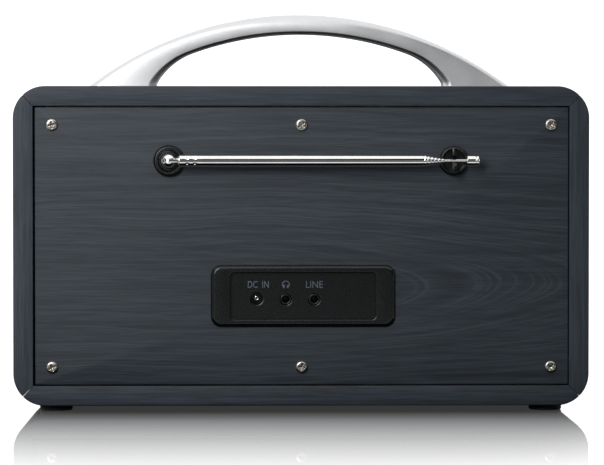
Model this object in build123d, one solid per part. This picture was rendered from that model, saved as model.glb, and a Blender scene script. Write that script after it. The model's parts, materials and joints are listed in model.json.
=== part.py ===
"""Portable tabletop radio: mitred wooden cabinet, cast carrying handle, telescopic antenna on the back.

Row frame: +X to the right seen from the front, +Y to the back, +Z up. The origin is the centre of the
cabinet's footprint on the table. All sizes are in millimetres.
"""

from build123d import *
import math
import os

# ---------------------------------------------------------------- driving dimensions
# Cabinet
cabinet_width = 280.0
cabinet_height = 155.4
cabinet_depth = 110.0
board_thickness = 9.7
corner_radius = 15.6
foot_height = 3.0
foot_radius = 8.0
foot_inset_x = 20.0
foot_inset_y = 15.0

# Rear panel and what holds it
rear_panel_thickness = 5.0
rear_panel_recess = 0.8
panel_gap_hinge_side = 0.9
panel_gap_clip_side = 0.4
panel_gap_top_bottom = 0.6
cleat_height = 14.0
cleat_depth = 10.0
cleat_end_gap = 6.0
rear_screw_inset = 9.1
rear_screw_length = 14.0

# Fasteners: radii of shank and head, and head height
m3_shank_radius = 1.45
m3_head_radius = 2.85
m3_head_height = 1.5
m3_length = 8.0
m4_shank_radius = 2.0
m4_head_radius = 3.9
m4_head_height = 2.6
thread_clearance = 0.05
hole_clearance = 0.25

# Carrying handle
handle_depth = 24.0
handle_half_span = 106.5
handle_rise = 36.6
handle_crown_thickness = 9.3
handle_inner_half_span = 73.3
handle_shoulder_half = 53.8
handle_inner_radius = 158.0
handle_outer_round = 4.0
handle_inner_bevel = 1.4
handle_screw_x = 86.0
handle_screw_y = 6.0
handle_screw_bite = 6.0

# Connection plate: its centre from the panel's centre, and its sizes
plate_offset_x = -0.8
plate_offset_z = -24.3
plate_width = 89.8
plate_height = 30.3
plate_corner = 5.2
plate_proud = 1.8
plate_bevel = 1.5
pocket_width = 70.7
pocket_height = 22.8
pocket_corner = 2.2
pocket_depth = 2.6
pocket_wall = 1.8
pocket_floor = 2.4
plate_fit = 0.2
post_radius = 3.4
post_half_x = 32.0
post_half_z = 8.4

# Sockets: places from the plate's centre
dc_offset = (22.6, -1.2)
headphone_offset = (8.4, -1.7)
aux_offset = (-5.5, -1.7)
dc_hole_radius = 3.3
dc_bore_radius = 3.1
dc_pin_radius = 1.0
dc_bore_depth = 9.5
jack_nose_radius = 2.7
jack_bore_radius = 1.8
jack_bore_depth = 13.0
socket_gap = 0.1

# Boards and battery
board_sheet = 1.6
main_board_width = 100.0
main_board_height = 56.0
main_board_standoff = 12.0
cell_radius = 9.2
cell_length = 65.0
cell_gap = 0.4

# Antenna: pivot place from the panel's centre, and the telescope
antenna_pivot_x = 64.3
antenna_pivot_z = 41.4
antenna_standoff = 7.0
bushing_radius = 7.6
bushing_proud = 3.0
bushing_well_radius = 5.3
bushing_well_depth = 1.6
bushing_spigot_radius = 5.0
stud_radius = 3.6
stud_neck_radius = 2.5
running_gap = 0.05
fork_slot = 1.7
tongue_thickness = 1.5
tongue_radius = 2.9
hinge_pin_radius = 0.8
tube_radius = 3.0
tube_wall = 0.28
telescope_gap = 0.1
mast_start = 5.2
mast_end = 124.5
knuckle_plug = 10.0
inner_section_count = 5
collar_pitch = 1.75
rod_end = 144.0
tip_length = 6.3
tip_radius = 2.8
nut_flats = 8.0
nut_thickness = 3.5

# Antenna clip
clip_from_pivot = 138.2
clip_radius = 7.15
clip_base = 3.4
clip_bevel = 1.0
clip_fin_thickness = 2.0
clip_fin_half_height = 6.2
clip_fin_cover = 1.5
clip_seat_gap = 0.06
clip_mouth_half = 2.6
clip_peg_radius = 3.0

# Front: cloth, grille frames, baffle
cloth_recess = 2.0
cloth_thickness = 0.5
grille_frame_depth = 5.0
grille_rim = 5.0
grille_gap = 0.3
baffle_thickness = 6.0
baffle_fit = 0.05
baffle_window_margin = 4.0

# Loudspeakers
speaker_flange_radius = 39.0
speaker_flange_thickness = 1.5
speaker_basket_radius = 33.0
speaker_screw_circle = 36.2
speaker_depth = 20.0
magnet_radius = 22.0
magnet_thickness = 12.0
coil_radius = 10.2
coil_gap = 0.7
cone_radius = 27.0
cone_thickness = 0.6
cone_depth = 12.0
cone_travel = 1.0
surround_width = 4.6

# Control panel
control_width = 66.0
control_face_proud = 0.5
control_wall = 3.0
display_centre_z = 123.0
display_width = 50.0
display_height = 28.0
display_lens = 1.2
display_border = 3.0
button_row_z = 98.0
button_width = 11.0
button_height = 5.5
button_pitch = 13.6
button_proud = 1.1
button_travel = 0.5
button_gap = 0.15
button_flange = 0.8
tuning_knob_z = 68.0
tuning_knob_radius = 20.0
volume_knob_z = 30.0
volume_knob_radius = 11.0
volume_knob_proud = 8.2
knob_gap = 0.7
knob_skirt = 1.6
shaft_radius = 3.0
shaft_flat = 1.5
encoder_size = 12.5
encoder_bushing_radius = 3.8
encoder_cavity_radius = 4.6
control_board_setback = 7.5
control_board_gap = 1.0
control_post_inset = 8.5
push_travel = 0.5

# ---------------------------------------------------------------- derived places
foot_top = foot_height
cabinet_top_z = foot_height + cabinet_height
centre_z = foot_height + cabinet_height / 2
inner_half_x = cabinet_width / 2 - board_thickness
inner_low_z = foot_height + board_thickness
inner_high_z = cabinet_top_z - board_thickness
rear_edge = cabinet_depth / 2
front_edge = -cabinet_depth / 2

panel_face = rear_edge - rear_panel_recess
panel_back = panel_face - rear_panel_thickness
# screw centres, measured in from the inside of the cabinet
screw_x = inner_half_x - rear_screw_inset
screw_low_z = inner_low_z + rear_screw_inset
screw_high_z = inner_high_z - rear_screw_inset

plate_x = plate_offset_x
plate_z = centre_z + plate_offset_z
plate_face = panel_face + plate_proud
pocket_face = plate_face - pocket_depth
plate_back = pocket_face - pocket_floor
main_board_face = plate_back - main_board_standoff

pivot_x = antenna_pivot_x
pivot_z = centre_z + antenna_pivot_z
pivot_y = panel_face + antenna_standoff

cloth_face = front_edge + cloth_recess
frame_face = cloth_face + cloth_thickness
baffle_face = frame_face + grille_frame_depth
baffle_back = baffle_face + baffle_thickness
control_face = cloth_face - control_face_proud
control_back = control_face + control_wall
control_board_face = control_back + control_board_setback
grille_inner_x = control_width / 2 + grille_gap
grille_outer_x = inner_half_x - grille_gap
grille_half_height = (inner_high_z - inner_low_z) / 2 - grille_gap
speaker_x = (grille_inner_x + grille_outer_x) / 2
grille_width = grille_outer_x - grille_inner_x
# the tuning knob stands as far out in front as the antenna's fork does behind
knob_front = -(pivot_y + stud_radius)


# ---------------------------------------------------------------- shape helpers
def block(x, y, z):
    """Box between two places on each axis."""
    size = [high - low for low, high in (x, y, z)]
    return Pos(sum(x) / 2, sum(y) / 2, sum(z) / 2) * Box(*size)


def facing(y):
    """Plane at depth y whose own x and y run along X and Z."""
    return Plane(origin=(0, y, 0), x_dir=(1, 0, 0), z_dir=(0, -1, 0))


def slab(sketch, x, z, y):
    """A sketch drawn about its own centre, set at (x, z) and solid between two depths."""
    return extrude(facing(y[1]) * Pos(x, z) * sketch, amount=y[1] - y[0])


def bar_y(x, z, radius, y):
    """Round bar along Y."""
    return slab(Circle(radius), x, z, y)


def bar_x(x, radius, y=None, z=None):
    """Round bar along X, on the antenna's axis unless y and z are given."""
    middle = (pivot_y if y is None else y, pivot_z if z is None else z)
    plane = Plane(origin=(x[0], *middle), x_dir=(0, 1, 0), z_dir=(1, 0, 0))
    return extrude(plane * Circle(radius), amount=x[1] - x[0])


def bar_z(x, y, radius, z):
    """Round bar along Z."""
    return Pos(x, y, z[0]) * extrude(Circle(radius), amount=z[1] - z[0])


def turned(points, x, z):
    """Ring or disc turned about an axis along Y through (x, z), from (radius, depth) points."""
    return Pos(x, 0, z) * revolve(make_face(Polyline(*points, close=True)), Axis.Y)


def pan_screw(shank_radius, head_radius, head_height, length):
    """Pan-head cross-recess screw along Y, its head's underside at y = 0 and its head towards +Y."""
    head = turned(
        [
            (0, 0),
            (head_radius, 0),
            (head_radius, head_height * 0.35),
            (head_radius * 0.72, head_height * 0.85),
            (head_radius * 0.3, head_height),
            (0, head_height),
        ],
        0,
        0,
    )
    slot = head_radius * 0.32
    reach = head_radius * 0.6
    recess = block((-reach, reach), (head_height * 0.3, head_height + 1), (-slot / 2, slot / 2))
    recess += block((-slot / 2, slot / 2), (head_height * 0.3, head_height + 1), (-reach, reach))
    shank = turned(
        [
            (0, 0),
            (shank_radius, 0),
            (shank_radius, -length + shank_radius),
            (shank_radius * 0.3, -length),
            (0, -length),
        ],
        0,
        0,
    )
    return head - recess + shank


def one(shape):
    """The single solid of a shape, so that a piece that fell apart is noticed."""
    solids = shape.solids()
    assert len(solids) == 1, f"expected one solid, got {len(solids)}"
    return solids[0]


pieces = {}


# ---------------------------------------------------------------- cabinet
def cabinet():
    """Four boards, mitred at 45 degrees and glued, their outer corners rounded."""
    ring = slab(
        RectangleRounded(cabinet_width, cabinet_height, corner_radius),
        0,
        centre_z,
        (front_edge, rear_edge),
    )
    ring -= slab(
        Rectangle(2 * inner_half_x, inner_high_z - inner_low_z),
        0,
        centre_z,
        (front_edge, rear_edge),
    )
    half_x, half_z = cabinet_width / 2, cabinet_height / 2
    in_x, in_z = half_x - board_thickness, half_z - board_thickness
    wedges = {
        "cabinet_top": [(-half_x, half_z), (half_x, half_z), (in_x, in_z), (-in_x, in_z)],
        "cabinet_bottom": [(-half_x, -half_z), (half_x, -half_z), (in_x, -in_z), (-in_x, -in_z)],
        "cabinet_left": [(-half_x, half_z), (-half_x, -half_z), (-in_x, -in_z), (-in_x, in_z)],
        "cabinet_right": [(half_x, half_z), (half_x, -half_z), (in_x, -in_z), (in_x, in_z)],
    }
    for name, corners in wedges.items():
        wedge = slab(
            make_face(Polyline(*corners, close=True)), 0, centre_z, (front_edge, rear_edge)
        )
        board = ring & wedge
        if name == "cabinet_top":
            for x, y in handle_screw_places():
                hole = m4_shank_radius + hole_clearance
                board -= bar_z(x, y, hole, (inner_high_z - 1, cabinet_top_z + 1))
        pieces[name] = one(board)


def handle_screw_places():
    """Where the four handle screws come up through the top board."""
    return [
        (sx * handle_screw_x, sy * handle_screw_y) for sx in (-1, 1) for sy in (-1, 1)
    ]


def rubber_feet():
    """Four stuck-on pads, slightly bevelled where they meet the table."""
    foot_bevel = 0.6
    feet = []
    for sx in (-1, 1):
        for sy in (-1, 1):
            x = sx * (cabinet_width / 2 - foot_inset_x)
            y = sy * (cabinet_depth / 2 - foot_inset_y)
            pad = bar_z(x, y, foot_radius, (0, foot_height))
            feet.append(chamfer(pad.edges().group_by(Axis.Z)[0], foot_bevel))
    pieces["rubber_feet"] = Compound(children=[one(f) for f in feet])


# ---------------------------------------------------------------- handle
def carry_handle():
    """Arched casting: one arc outside, and a flat arch with tighter shoulders inside."""
    base = cabinet_top_z
    inner_rise = handle_rise - handle_crown_thickness
    drop = handle_inner_radius - math.sqrt(handle_inner_radius**2 - handle_shoulder_half**2)
    shoulder = (handle_shoulder_half, inner_rise - drop)
    slope = math.asin(handle_shoulder_half / handle_inner_radius)
    outline = [
        ThreePointArc((-handle_half_span, 0), (0, handle_rise), (handle_half_span, 0)),
        Line((handle_half_span, 0), (handle_inner_half_span, 0)),
        TangentArc(
            shoulder,
            (handle_inner_half_span, 0),
            tangent=(math.cos(slope), -math.sin(slope)),
        ),
        ThreePointArc(shoulder, (0, inner_rise), (-shoulder[0], shoulder[1])),
        TangentArc(
            (-shoulder[0], shoulder[1]),
            (-handle_inner_half_span, 0),
            tangent=(-math.cos(slope), -math.sin(slope)),
        ),
        Line((-handle_inner_half_span, 0), (-handle_half_span, 0)),
    ]
    half = handle_depth / 2
    handle = slab(make_face(outline), 0, base, (-half, half))
    arcs = handle.edges().filter_by(GeomType.CIRCLE)
    inner = arcs.filter_by(
        lambda e: abs(e.radius - handle_inner_radius) < 1e-3 or e.radius < handle_shoulder_half
    )
    outer = [e for e in arcs if e not in inner]
    handle = fillet(outer, handle_outer_round)
    inner = handle.edges().filter_by(GeomType.CIRCLE).filter_by(
        lambda e: abs(abs(e.center().Y) - half) < 1e-3
        and abs(e.center(CenterOf.MASS).X) < handle_inner_half_span
        and e.radius < handle_inner_radius + 1
    )
    handle = chamfer(inner, handle_inner_bevel)
    bore = m4_shank_radius + thread_clearance
    for x, y in handle_screw_places():
        handle -= bar_z(x, y, bore, (base - 1, base + handle_screw_bite + 1))
    pieces["carry_handle"] = one(handle)

    screws = []
    length = board_thickness + handle_screw_bite
    screw = pan_screw(m4_shank_radius, m4_head_radius, m4_head_height, length)
    for x, y in handle_screw_places():
        screws.append(Pos(x, y, inner_high_z) * Rot(-90, 0, 0) * screw)
    pieces["handle_screws"] = Compound(children=[one(s) for s in screws])


# ---------------------------------------------------------------- rear panel
def rear_screw_places():
    """Three screws along the top of the panel and three along the bottom."""
    return [(x, z) for z in (screw_low_z, screw_high_z) for x in (-screw_x, 0, screw_x)]


def rear_panel():
    """Inset board, set a little towards the clip side, with its cleats and screws."""
    left, right = -inner_half_x + panel_gap_clip_side, inner_half_x - panel_gap_hinge_side
    low, high = inner_low_z + panel_gap_top_bottom, inner_high_z - panel_gap_top_bottom
    panel = block((left, right), (panel_back, panel_face), (low, high))
    through = (panel_back - 1, panel_face + 1)
    for x, z in rear_screw_places():
        panel -= bar_y(x, z, m3_shank_radius + hole_clearance, through)
    panel -= bar_y(pivot_x, pivot_z, bushing_spigot_radius, through)
    panel -= bar_y(pivot_x - clip_from_pivot, pivot_z, clip_peg_radius, through)
    panel -= slab(
        RectangleRounded(
            pocket_width + 2 * (pocket_wall + plate_fit),
            pocket_height + 2 * (pocket_wall + plate_fit),
            pocket_corner + pocket_wall + plate_fit,
        ),
        plate_x,
        plate_z,
        through,
    )
    pieces["rear_panel"] = one(panel)

    span = inner_half_x - cleat_end_gap
    cleats = []
    for z in ((inner_low_z, inner_low_z + cleat_height), (inner_high_z - cleat_height, inner_high_z)):
        cleat = block((-span, span), (panel_back - cleat_depth, panel_back), z)
        for x, hole_z in rear_screw_places():
            if z[0] < hole_z < z[1]:
                bore = m3_shank_radius + thread_clearance
                cleat -= bar_y(x, hole_z, bore, (panel_face - rear_screw_length - 1, panel_face))
        cleats.append(one(cleat))
    pieces["rear_cleats"] = Compound(children=cleats)

    screw = pan_screw(m3_shank_radius, m3_head_radius, m3_head_height, rear_screw_length)
    turns = (38, 12, 64, 25, 50, 80)
    screws = [
        one(Pos(x, panel_face, z) * Rot(0, turn, 0) * screw)
        for (x, z), turn in zip(rear_screw_places(), turns)
    ]
    pieces["rear_panel_screws"] = Compound(children=screws)


# ---------------------------------------------------------------- connection plate and main board
def post_places():
    """The four posts behind the connection plate that carry the main board."""
    return [
        (plate_x + sx * post_half_x, plate_z + sz * post_half_z)
        for sx in (-1, 1)
        for sz in (-1, 1)
    ]


def socket_place(offset):
    """Where a socket sits, from its offset from the plate's centre."""
    return plate_x + offset[0], plate_z + offset[1]


def connection_plate():
    """Bevelled rim on the panel, a sunk pocket with three holes, and posts for the board."""
    rim = slab(
        RectangleRounded(plate_width, plate_height, plate_corner),
        plate_x,
        plate_z,
        (panel_face, plate_face),
    )
    rim = chamfer(rim.edges().group_by(Axis.Y)[-1], plate_bevel)
    tub = slab(
        RectangleRounded(
            pocket_width + 2 * pocket_wall,
            pocket_height + 2 * pocket_wall,
            pocket_corner + pocket_wall,
        ),
        plate_x,
        plate_z,
        (plate_back, panel_face),
    )
    pocket = slab(
        RectangleRounded(pocket_width, pocket_height, pocket_corner),
        plate_x,
        plate_z,
        (pocket_face, plate_face + 1),
    )
    plate = rim + tub - pocket
    for x, z in post_places():
        plate += bar_y(x, z, post_radius, (main_board_face, plate_back))
        bore = m3_shank_radius + thread_clearance
        plate -= bar_y(x, z, bore, (main_board_face - 1, main_board_face + m3_length - board_sheet + 0.5))
    through = (plate_back - 1, plate_face + 1)
    plate -= bar_y(*socket_place(dc_offset), dc_hole_radius, through)
    for offset in (headphone_offset, aux_offset):
        plate -= bar_y(*socket_place(offset), jack_nose_radius + plate_fit, through)
    pieces["connection_plate"] = one(plate)


def sockets():
    """Power socket with its centre pin, and two 3.5 mm jack sockets, all soldered to the board."""
    behind = (main_board_face, plate_back - socket_gap)
    dc_body = 9.0
    x, z = socket_place(dc_offset)
    dc = slab(Rectangle(dc_body, dc_body + 2), x, z, behind)
    floor = behind[1] - dc_bore_depth
    dc -= bar_y(x, z, dc_bore_radius, (floor, behind[1] + 1))
    pin_short = 1.0
    dc += bar_y(x, z, dc_pin_radius, (floor, behind[1] - pin_short))
    pieces["dc_socket"] = one(dc)

    jack_body = (8.0, 10.0)
    nose_short = 0.2
    for name, offset in (("headphone_socket", headphone_offset), ("aux_socket", aux_offset)):
        x, z = socket_place(offset)
        jack = slab(Rectangle(*jack_body), x, z, behind)
        front = pocket_face - nose_short
        jack += bar_y(x, z, jack_nose_radius, (behind[1], front))
        jack -= bar_y(x, z, jack_bore_radius, (front - jack_bore_depth, front + 1))
        pieces[name] = one(jack)


def m3(x, z, y, towards=1):
    """M3 screw at (x, z) with its head's underside at depth y; its head points along towards * Y."""
    screw = pan_screw(m3_shank_radius, m3_head_radius, m3_head_height, m3_length)
    return one(Pos(x, y, z) * (screw if towards > 0 else Rot(180, 0, 0) * screw))


def main_board():
    """Board behind the connection plate, with the parts soldered to its inner side."""
    back = main_board_face - board_sheet
    board = slab(
        Rectangle(main_board_width, main_board_height), plate_x, plate_z, (back, main_board_face)
    )
    for x, z in post_places():
        hole = m3_shank_radius + hole_clearance
        board -= bar_y(x, z, hole, (back - 1, main_board_face + 1))
    pieces["main_board"] = one(board)

    # width, height, depth, and place on the board: tuner can, processor, amplifier, sockets, coils
    parts = [
        (26, 26, 5.0, -12, 8),
        (12, 12, 1.4, 10, 14),
        (9, 9, 1.2, 18, -16),
        (14, 6, 7.0, 34, 20),
        (14, 6, 7.0, 34, -20),
        (7, 7, 4.0, 2, -16),
        (7, 7, 4.0, -12, -18),
    ]
    soldered = [
        one(slab(Rectangle(w, h), plate_x + x, plate_z + z, (back - d, back)))
        for w, h, d, x, z in parts
    ]
    cans = [(-24, -18), (10, 2), (20, 2)]
    can_radius, can_height = 4.0, 10.0
    for x, z in cans:
        soldered.append(one(bar_y(plate_x + x, plate_z + z, can_radius, (back - can_height, back))))
    pieces["board_components"] = Compound(children=soldered)


def battery_pack():
    """Two cylindrical cells, side by side on the cabinet floor."""
    z = inner_low_z + cell_radius + cell_gap
    cells = []
    for n in (0, 1):
        y = n * (2 * cell_radius + cell_gap)
        cell = bar_x((-cell_length / 2, cell_length / 2), cell_radius, y, z)
        cells.append(one(fillet(cell.edges(), 0.8)))
    pieces["battery_pack"] = Compound(children=cells)


# ---------------------------------------------------------------- antenna
def antenna_base():
    """Plastic bushing in the panel, and the metal stud with its fork, nut and hinge pin."""
    rim = panel_face + bushing_proud
    well = rim - bushing_well_depth
    neck = stud_neck_radius + running_gap
    bushing_round = 0.8
    spigot_end = panel_back - 1.0
    bushing = turned(
        [
            (neck, spigot_end),
            (bushing_spigot_radius, spigot_end),
            (bushing_spigot_radius, panel_face),
            (bushing_radius, panel_face),
            (bushing_radius, rim - bushing_round),
            (bushing_radius - bushing_round, rim),
            (bushing_well_radius, rim),
            (bushing_well_radius, well),
            (neck, well),
        ],
        pivot_x,
        pivot_z,
    )
    pieces["antenna_bushing"] = one(bushing)

    foot = well + running_gap
    thread_end = spigot_end - running_gap - nut_thickness - 1.0
    stud = bar_y(pivot_x, pivot_z, stud_radius, (foot, pivot_y))
    stud += Pos(pivot_x, pivot_y, pivot_z) * Sphere(stud_radius)
    stud += bar_y(pivot_x, pivot_z, stud_neck_radius, (thread_end, foot + 1))
    slot_floor = pivot_y - tongue_radius - 0.2
    stud -= block(
        (pivot_x - stud_radius - 1, pivot_x + stud_radius + 1),
        (slot_floor, pivot_y + stud_radius + 1),
        (pivot_z - fork_slot / 2, pivot_z + fork_slot / 2),
    )
    pin_half = stud_radius - 0.6
    pin = bar_z(pivot_x, pivot_y, hinge_pin_radius, (pivot_z - pin_half, pivot_z + pin_half))
    stud -= bar_z(pivot_x, pivot_y, hinge_pin_radius, (pivot_z - stud_radius - 1, pivot_z + stud_radius + 1))
    pieces["antenna_stud"] = one(stud)
    pieces["antenna_hinge_pin"] = one(pin)

    nut_face = spigot_end - running_gap
    nut = slab(
        RegularPolygon(nut_flats / 2, 6, major_radius=False),
        pivot_x,
        pivot_z,
        (nut_face - nut_thickness, nut_face),
    )
    nut -= bar_y(pivot_x, pivot_z, stud_neck_radius, (nut_face - nut_thickness - 1, nut_face + 1))
    pieces["antenna_nut"] = one(nut)


def antenna_mast():
    """Tongue and plug of the knuckle, and the outer tube crimped over the plug."""
    x0 = pivot_x - mast_start
    bore = tube_radius - tube_wall
    half = tongue_thickness / 2
    tongue = extrude(
        Plane.XY.offset(pivot_z - half) * Pos(pivot_x, pivot_y) * Circle(tongue_radius),
        amount=tongue_thickness,
    )
    neck_half = 2.0
    tongue += block((x0 - 0.5, pivot_x), (pivot_y - neck_half, pivot_y + neck_half), (pivot_z - half, pivot_z + half))
    # a round collar that fills the tube's mouth, then the plug inside it
    shoulder = bar_x((x0 - knuckle_plug, x0), bore)
    tongue += shoulder
    tongue -= bar_z(
        pivot_x, pivot_y, hinge_pin_radius + running_gap, (pivot_z - 2, pivot_z + 2)
    )
    pieces["antenna_knuckle"] = one(tongue)

    tube = bar_x((pivot_x - mast_end, x0), tube_radius)
    tube -= bar_x((pivot_x - mast_end - 1, x0 + 1), bore)
    pieces["antenna_tube"] = one(tube)


def antenna_telescope():
    """Each section slides inside the one before it, and all but a collar's width is inside at rest."""
    inner_end = pivot_x - mast_start - knuckle_plug - 1.0
    step = tube_wall + telescope_gap
    for n in range(1, inner_section_count + 1):
        radius = tube_radius - n * step
        outer_end = pivot_x - mast_end - n * collar_pitch
        section = bar_x((outer_end, inner_end), radius)
        section -= bar_x((outer_end - 1, inner_end + 1), radius - tube_wall)
        pieces[f"antenna_section_{n}"] = one(section)

    rod_radius = tube_radius - (inner_section_count + 1) * step
    tip_start = pivot_x - rod_end
    tip_bore_depth = 4.0
    pieces["antenna_rod"] = one(bar_x((tip_start - tip_bore_depth, inner_end), rod_radius))
    tip = bar_x((tip_start - tip_length, tip_start), tip_radius)
    tip = chamfer(tip.edges(), 0.35)
    tip -= bar_x((tip_start - tip_bore_depth, tip_start + 1), rod_radius)
    pieces["antenna_tip"] = one(tip)
    return rod_radius


def antenna_clip(rod_radius):
    """Round plastic button with a notched fin that the thin rod snaps into."""
    x = pivot_x - clip_from_pivot
    face = panel_face + clip_base
    peg_end = panel_back - 1.0
    clip = turned(
        [
            (0, peg_end),
            (clip_peg_radius, peg_end),
            (clip_peg_radius, panel_face),
            (clip_radius, panel_face),
            (clip_radius, face - clip_bevel),
            (clip_radius - clip_bevel, face),
            (0, face),
        ],
        x,
        pivot_z,
    )
    fin_half = clip_fin_thickness / 2
    fin_top = pivot_y + clip_fin_cover
    clip += block(
        (x - fin_half, x + fin_half),
        (face - 0.5, fin_top),
        (pivot_z - clip_fin_half_height, pivot_z + clip_fin_half_height),
    )
    seat = rod_radius + clip_seat_gap
    clip -= bar_x((x - fin_half - 1, x + fin_half + 1), seat)
    mouth = [
        (pivot_y, seat * 0.94),
        (pivot_y + seat * 0.6, seat * 0.94),
        (fin_top + 0.1, clip_mouth_half),
        (fin_top + 0.1, -clip_mouth_half),
        (pivot_y + seat * 0.6, -seat * 0.94),
        (pivot_y, -seat * 0.94),
    ]
    side = Plane(origin=(x - fin_half - 1, 0, pivot_z), x_dir=(0, 1, 0), z_dir=(1, 0, 0))
    clip -= extrude(side * make_face(Polyline(*mouth, close=True)), amount=clip_fin_thickness + 2)
    pieces["antenna_clip"] = one(clip)


# ---------------------------------------------------------------- front
def front_baffle():
    """Board behind the cloth that carries the loudspeakers, with a window for the controls."""
    half_x = inner_half_x - baffle_fit
    baffle = block(
        (-half_x, half_x),
        (baffle_face, baffle_back),
        (inner_low_z + baffle_fit, inner_high_z - baffle_fit),
    )
    through = (baffle_face - 1, baffle_back + 1)
    for side in (-1, 1):
        baffle -= bar_y(side * speaker_x, centre_z, speaker_basket_radius + 0.5, through)
        for x, z in speaker_screw_places(side):
            bore = m3_shank_radius + thread_clearance
            baffle -= bar_y(x, z, bore, through)
    window_height = inner_high_z - inner_low_z - 2 * baffle_window_margin
    window_width = control_width - 2 * baffle_window_margin
    baffle -= slab(Rectangle(window_width, window_height), 0, centre_z, through)
    pieces["front_baffle"] = one(baffle)


def grilles():
    """On each side, a frame with a round opening and a cloth stretched over its face."""
    frames = []
    for side, name in ((-1, "grille_cloth_left"), (1, "grille_cloth_right")):
        outline = Rectangle(grille_width, 2 * grille_half_height)
        frame = slab(outline, side * speaker_x, centre_z, (frame_face, baffle_face))
        opening = Rectangle(grille_width - 2 * grille_rim, 2 * (grille_half_height - grille_rim))
        frame -= slab(opening, side * speaker_x, centre_z, (frame_face - 1, baffle_face + 1))
        frames.append(one(frame))
        pieces[name] = one(slab(outline, side * speaker_x, centre_z, (cloth_face, frame_face)))
    pieces["grille_frames"] = Compound(children=frames)


# ---------------------------------------------------------------- loudspeakers
def speaker_screw_places(side):
    """Four screws round the flange, on its diagonals."""
    return [
        (
            side * speaker_x + speaker_screw_circle * math.cos(math.radians(45 + 90 * n)),
            centre_z + speaker_screw_circle * math.sin(math.radians(45 + 90 * n)),
        )
        for n in range(4)
    ]


def speaker(side, name):
    """Pressed basket, magnet with its coil gap, paper cone with coil, and rubber surround."""
    x, z = side * speaker_x, centre_z
    face = baffle_face - speaker_flange_thickness
    back = baffle_face + speaker_depth
    wall = 1.2
    basket = turned(
        [
            (speaker_basket_radius - wall, face),
            (speaker_flange_radius, face),
            (speaker_flange_radius, baffle_face),
            (speaker_basket_radius, baffle_face),
            (speaker_basket_radius - 2, baffle_face + baffle_thickness),
            (magnet_radius, back),
            (coil_radius + 3, back),
            (coil_radius + 3, back - wall),
            (magnet_radius - 0.8, back - wall),
            (speaker_basket_radius - wall - 2, baffle_face + baffle_thickness),
            (speaker_basket_radius - wall, baffle_face + 1),
        ],
        x,
        z,
    )
    for sx, sz in speaker_screw_places(side):
        hole = m3_shank_radius + hole_clearance
        basket -= bar_y(sx, sz, hole, (face - 1, baffle_face + 0.01))
    window = (baffle_face + baffle_thickness + 1.5, back - 3.5)
    window_half = 8.0
    for n in range(4):
        cut = block((12, 40), window, (-window_half, window_half))
        basket -= Pos(x, 0, z) * Rot(0, 90 * n, 0) * cut
    pieces[f"{name}_speaker_frame"] = one(basket)

    gap_depth = magnet_thickness - 3.0
    magnet = bar_y(x, z, magnet_radius, (back, back + magnet_thickness))
    gap = bar_y(x, z, coil_radius + coil_gap, (back - 1, back + gap_depth))
    gap -= bar_y(x, z, coil_radius - coil_gap, (back - 2, back + gap_depth + 1))
    magnet -= gap
    pieces[f"{name}_speaker_magnet"] = one(magnet)

    rim = baffle_face + 0.6
    throat = rim + cone_depth
    half_coil = 0.2
    coil_end = back + gap_depth - cone_travel - 1.0
    cap_rise = 3.0
    cone = turned(
        [
            (0, throat - cap_rise - 1.2),
            (coil_radius * 0.6, throat - cap_rise * 0.75 - 1.2),
            (coil_radius + half_coil, throat - 1.6),
            (cone_radius, rim),
            (cone_radius, rim + cone_thickness),
            (coil_radius + half_coil, throat),
            (coil_radius + half_coil, coil_end),
            (coil_radius - half_coil, coil_end),
            (coil_radius - half_coil, throat - 0.6),
            (coil_radius * 0.6, throat - cap_rise * 0.75),
            (0, throat - cap_rise),
        ],
        x,
        z,
    )
    pieces[f"{name}_cone"] = one(cone)

    middle = cone_radius + surround_width / 2
    outer_r, inner_r = surround_width / 2, surround_width / 2 - 0.5
    roll = make_face(
        [
            ThreePointArc((middle - outer_r, rim), (middle, rim - outer_r), (middle + outer_r, rim)),
            Line((middle + outer_r, rim), (middle + inner_r, rim)),
            ThreePointArc((middle + inner_r, rim), (middle, rim - inner_r), (middle - inner_r, rim)),
            Line((middle - inner_r, rim), (middle - outer_r, rim)),
        ]
    )
    pieces[f"{name}_surround"] = one(Pos(x, 0, z) * revolve(roll, Axis.Y))


# ---------------------------------------------------------------- control panel
button_names = ("power_button", "mode_button", "menu_button", "preset_button")
button_places = [(n - 1.5) * button_pitch for n in range(4)]
control_post_x = control_width / 2 - control_post_inset
control_posts = [
    (sx * control_post_x, z) for sx in (-1, 1) for z in (inner_low_z + 8, button_row_z - 12)
]


def control_panel():
    """Moulded fascia with openings for the display, four buttons and two knobs."""
    half_height = grille_half_height
    panel = slab(
        RectangleRounded(control_width, 2 * half_height, 1.0), 0, centre_z, (control_face, baffle_face)
    )
    wall = 2.0
    panel -= slab(
        Rectangle(control_width - 2 * wall, 2 * (half_height - wall)),
        0,
        centre_z,
        (control_back, baffle_face + 1),
    )
    through = (control_face - 1, control_back + 1)
    panel -= slab(
        RectangleRounded(display_width + 2 * display_border, display_height + 2 * display_border, 2.0),
        0,
        display_centre_z,
        (control_face - 1, control_face + display_lens),
    )
    panel -= slab(Rectangle(display_width, display_height), 0, display_centre_z, through)
    for x in button_places:
        opening = RectangleRounded(button_width + 2 * button_gap, button_height + 2 * button_gap, 1.2)
        panel -= slab(opening, x, button_row_z, through)
    for z in (tuning_knob_z, volume_knob_z):
        panel -= bar_y(0, z, encoder_bushing_radius + hole_clearance, through)
    for x, z in control_posts:
        panel += bar_y(x, z, post_radius - 0.4, (control_back, control_board_face))
        bore = m3_shank_radius + thread_clearance
        panel -= bar_y(x, z, bore, (control_board_face - m3_length + board_sheet - 0.3, control_board_face + 1))
    pieces["control_panel"] = one(panel)


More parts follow.
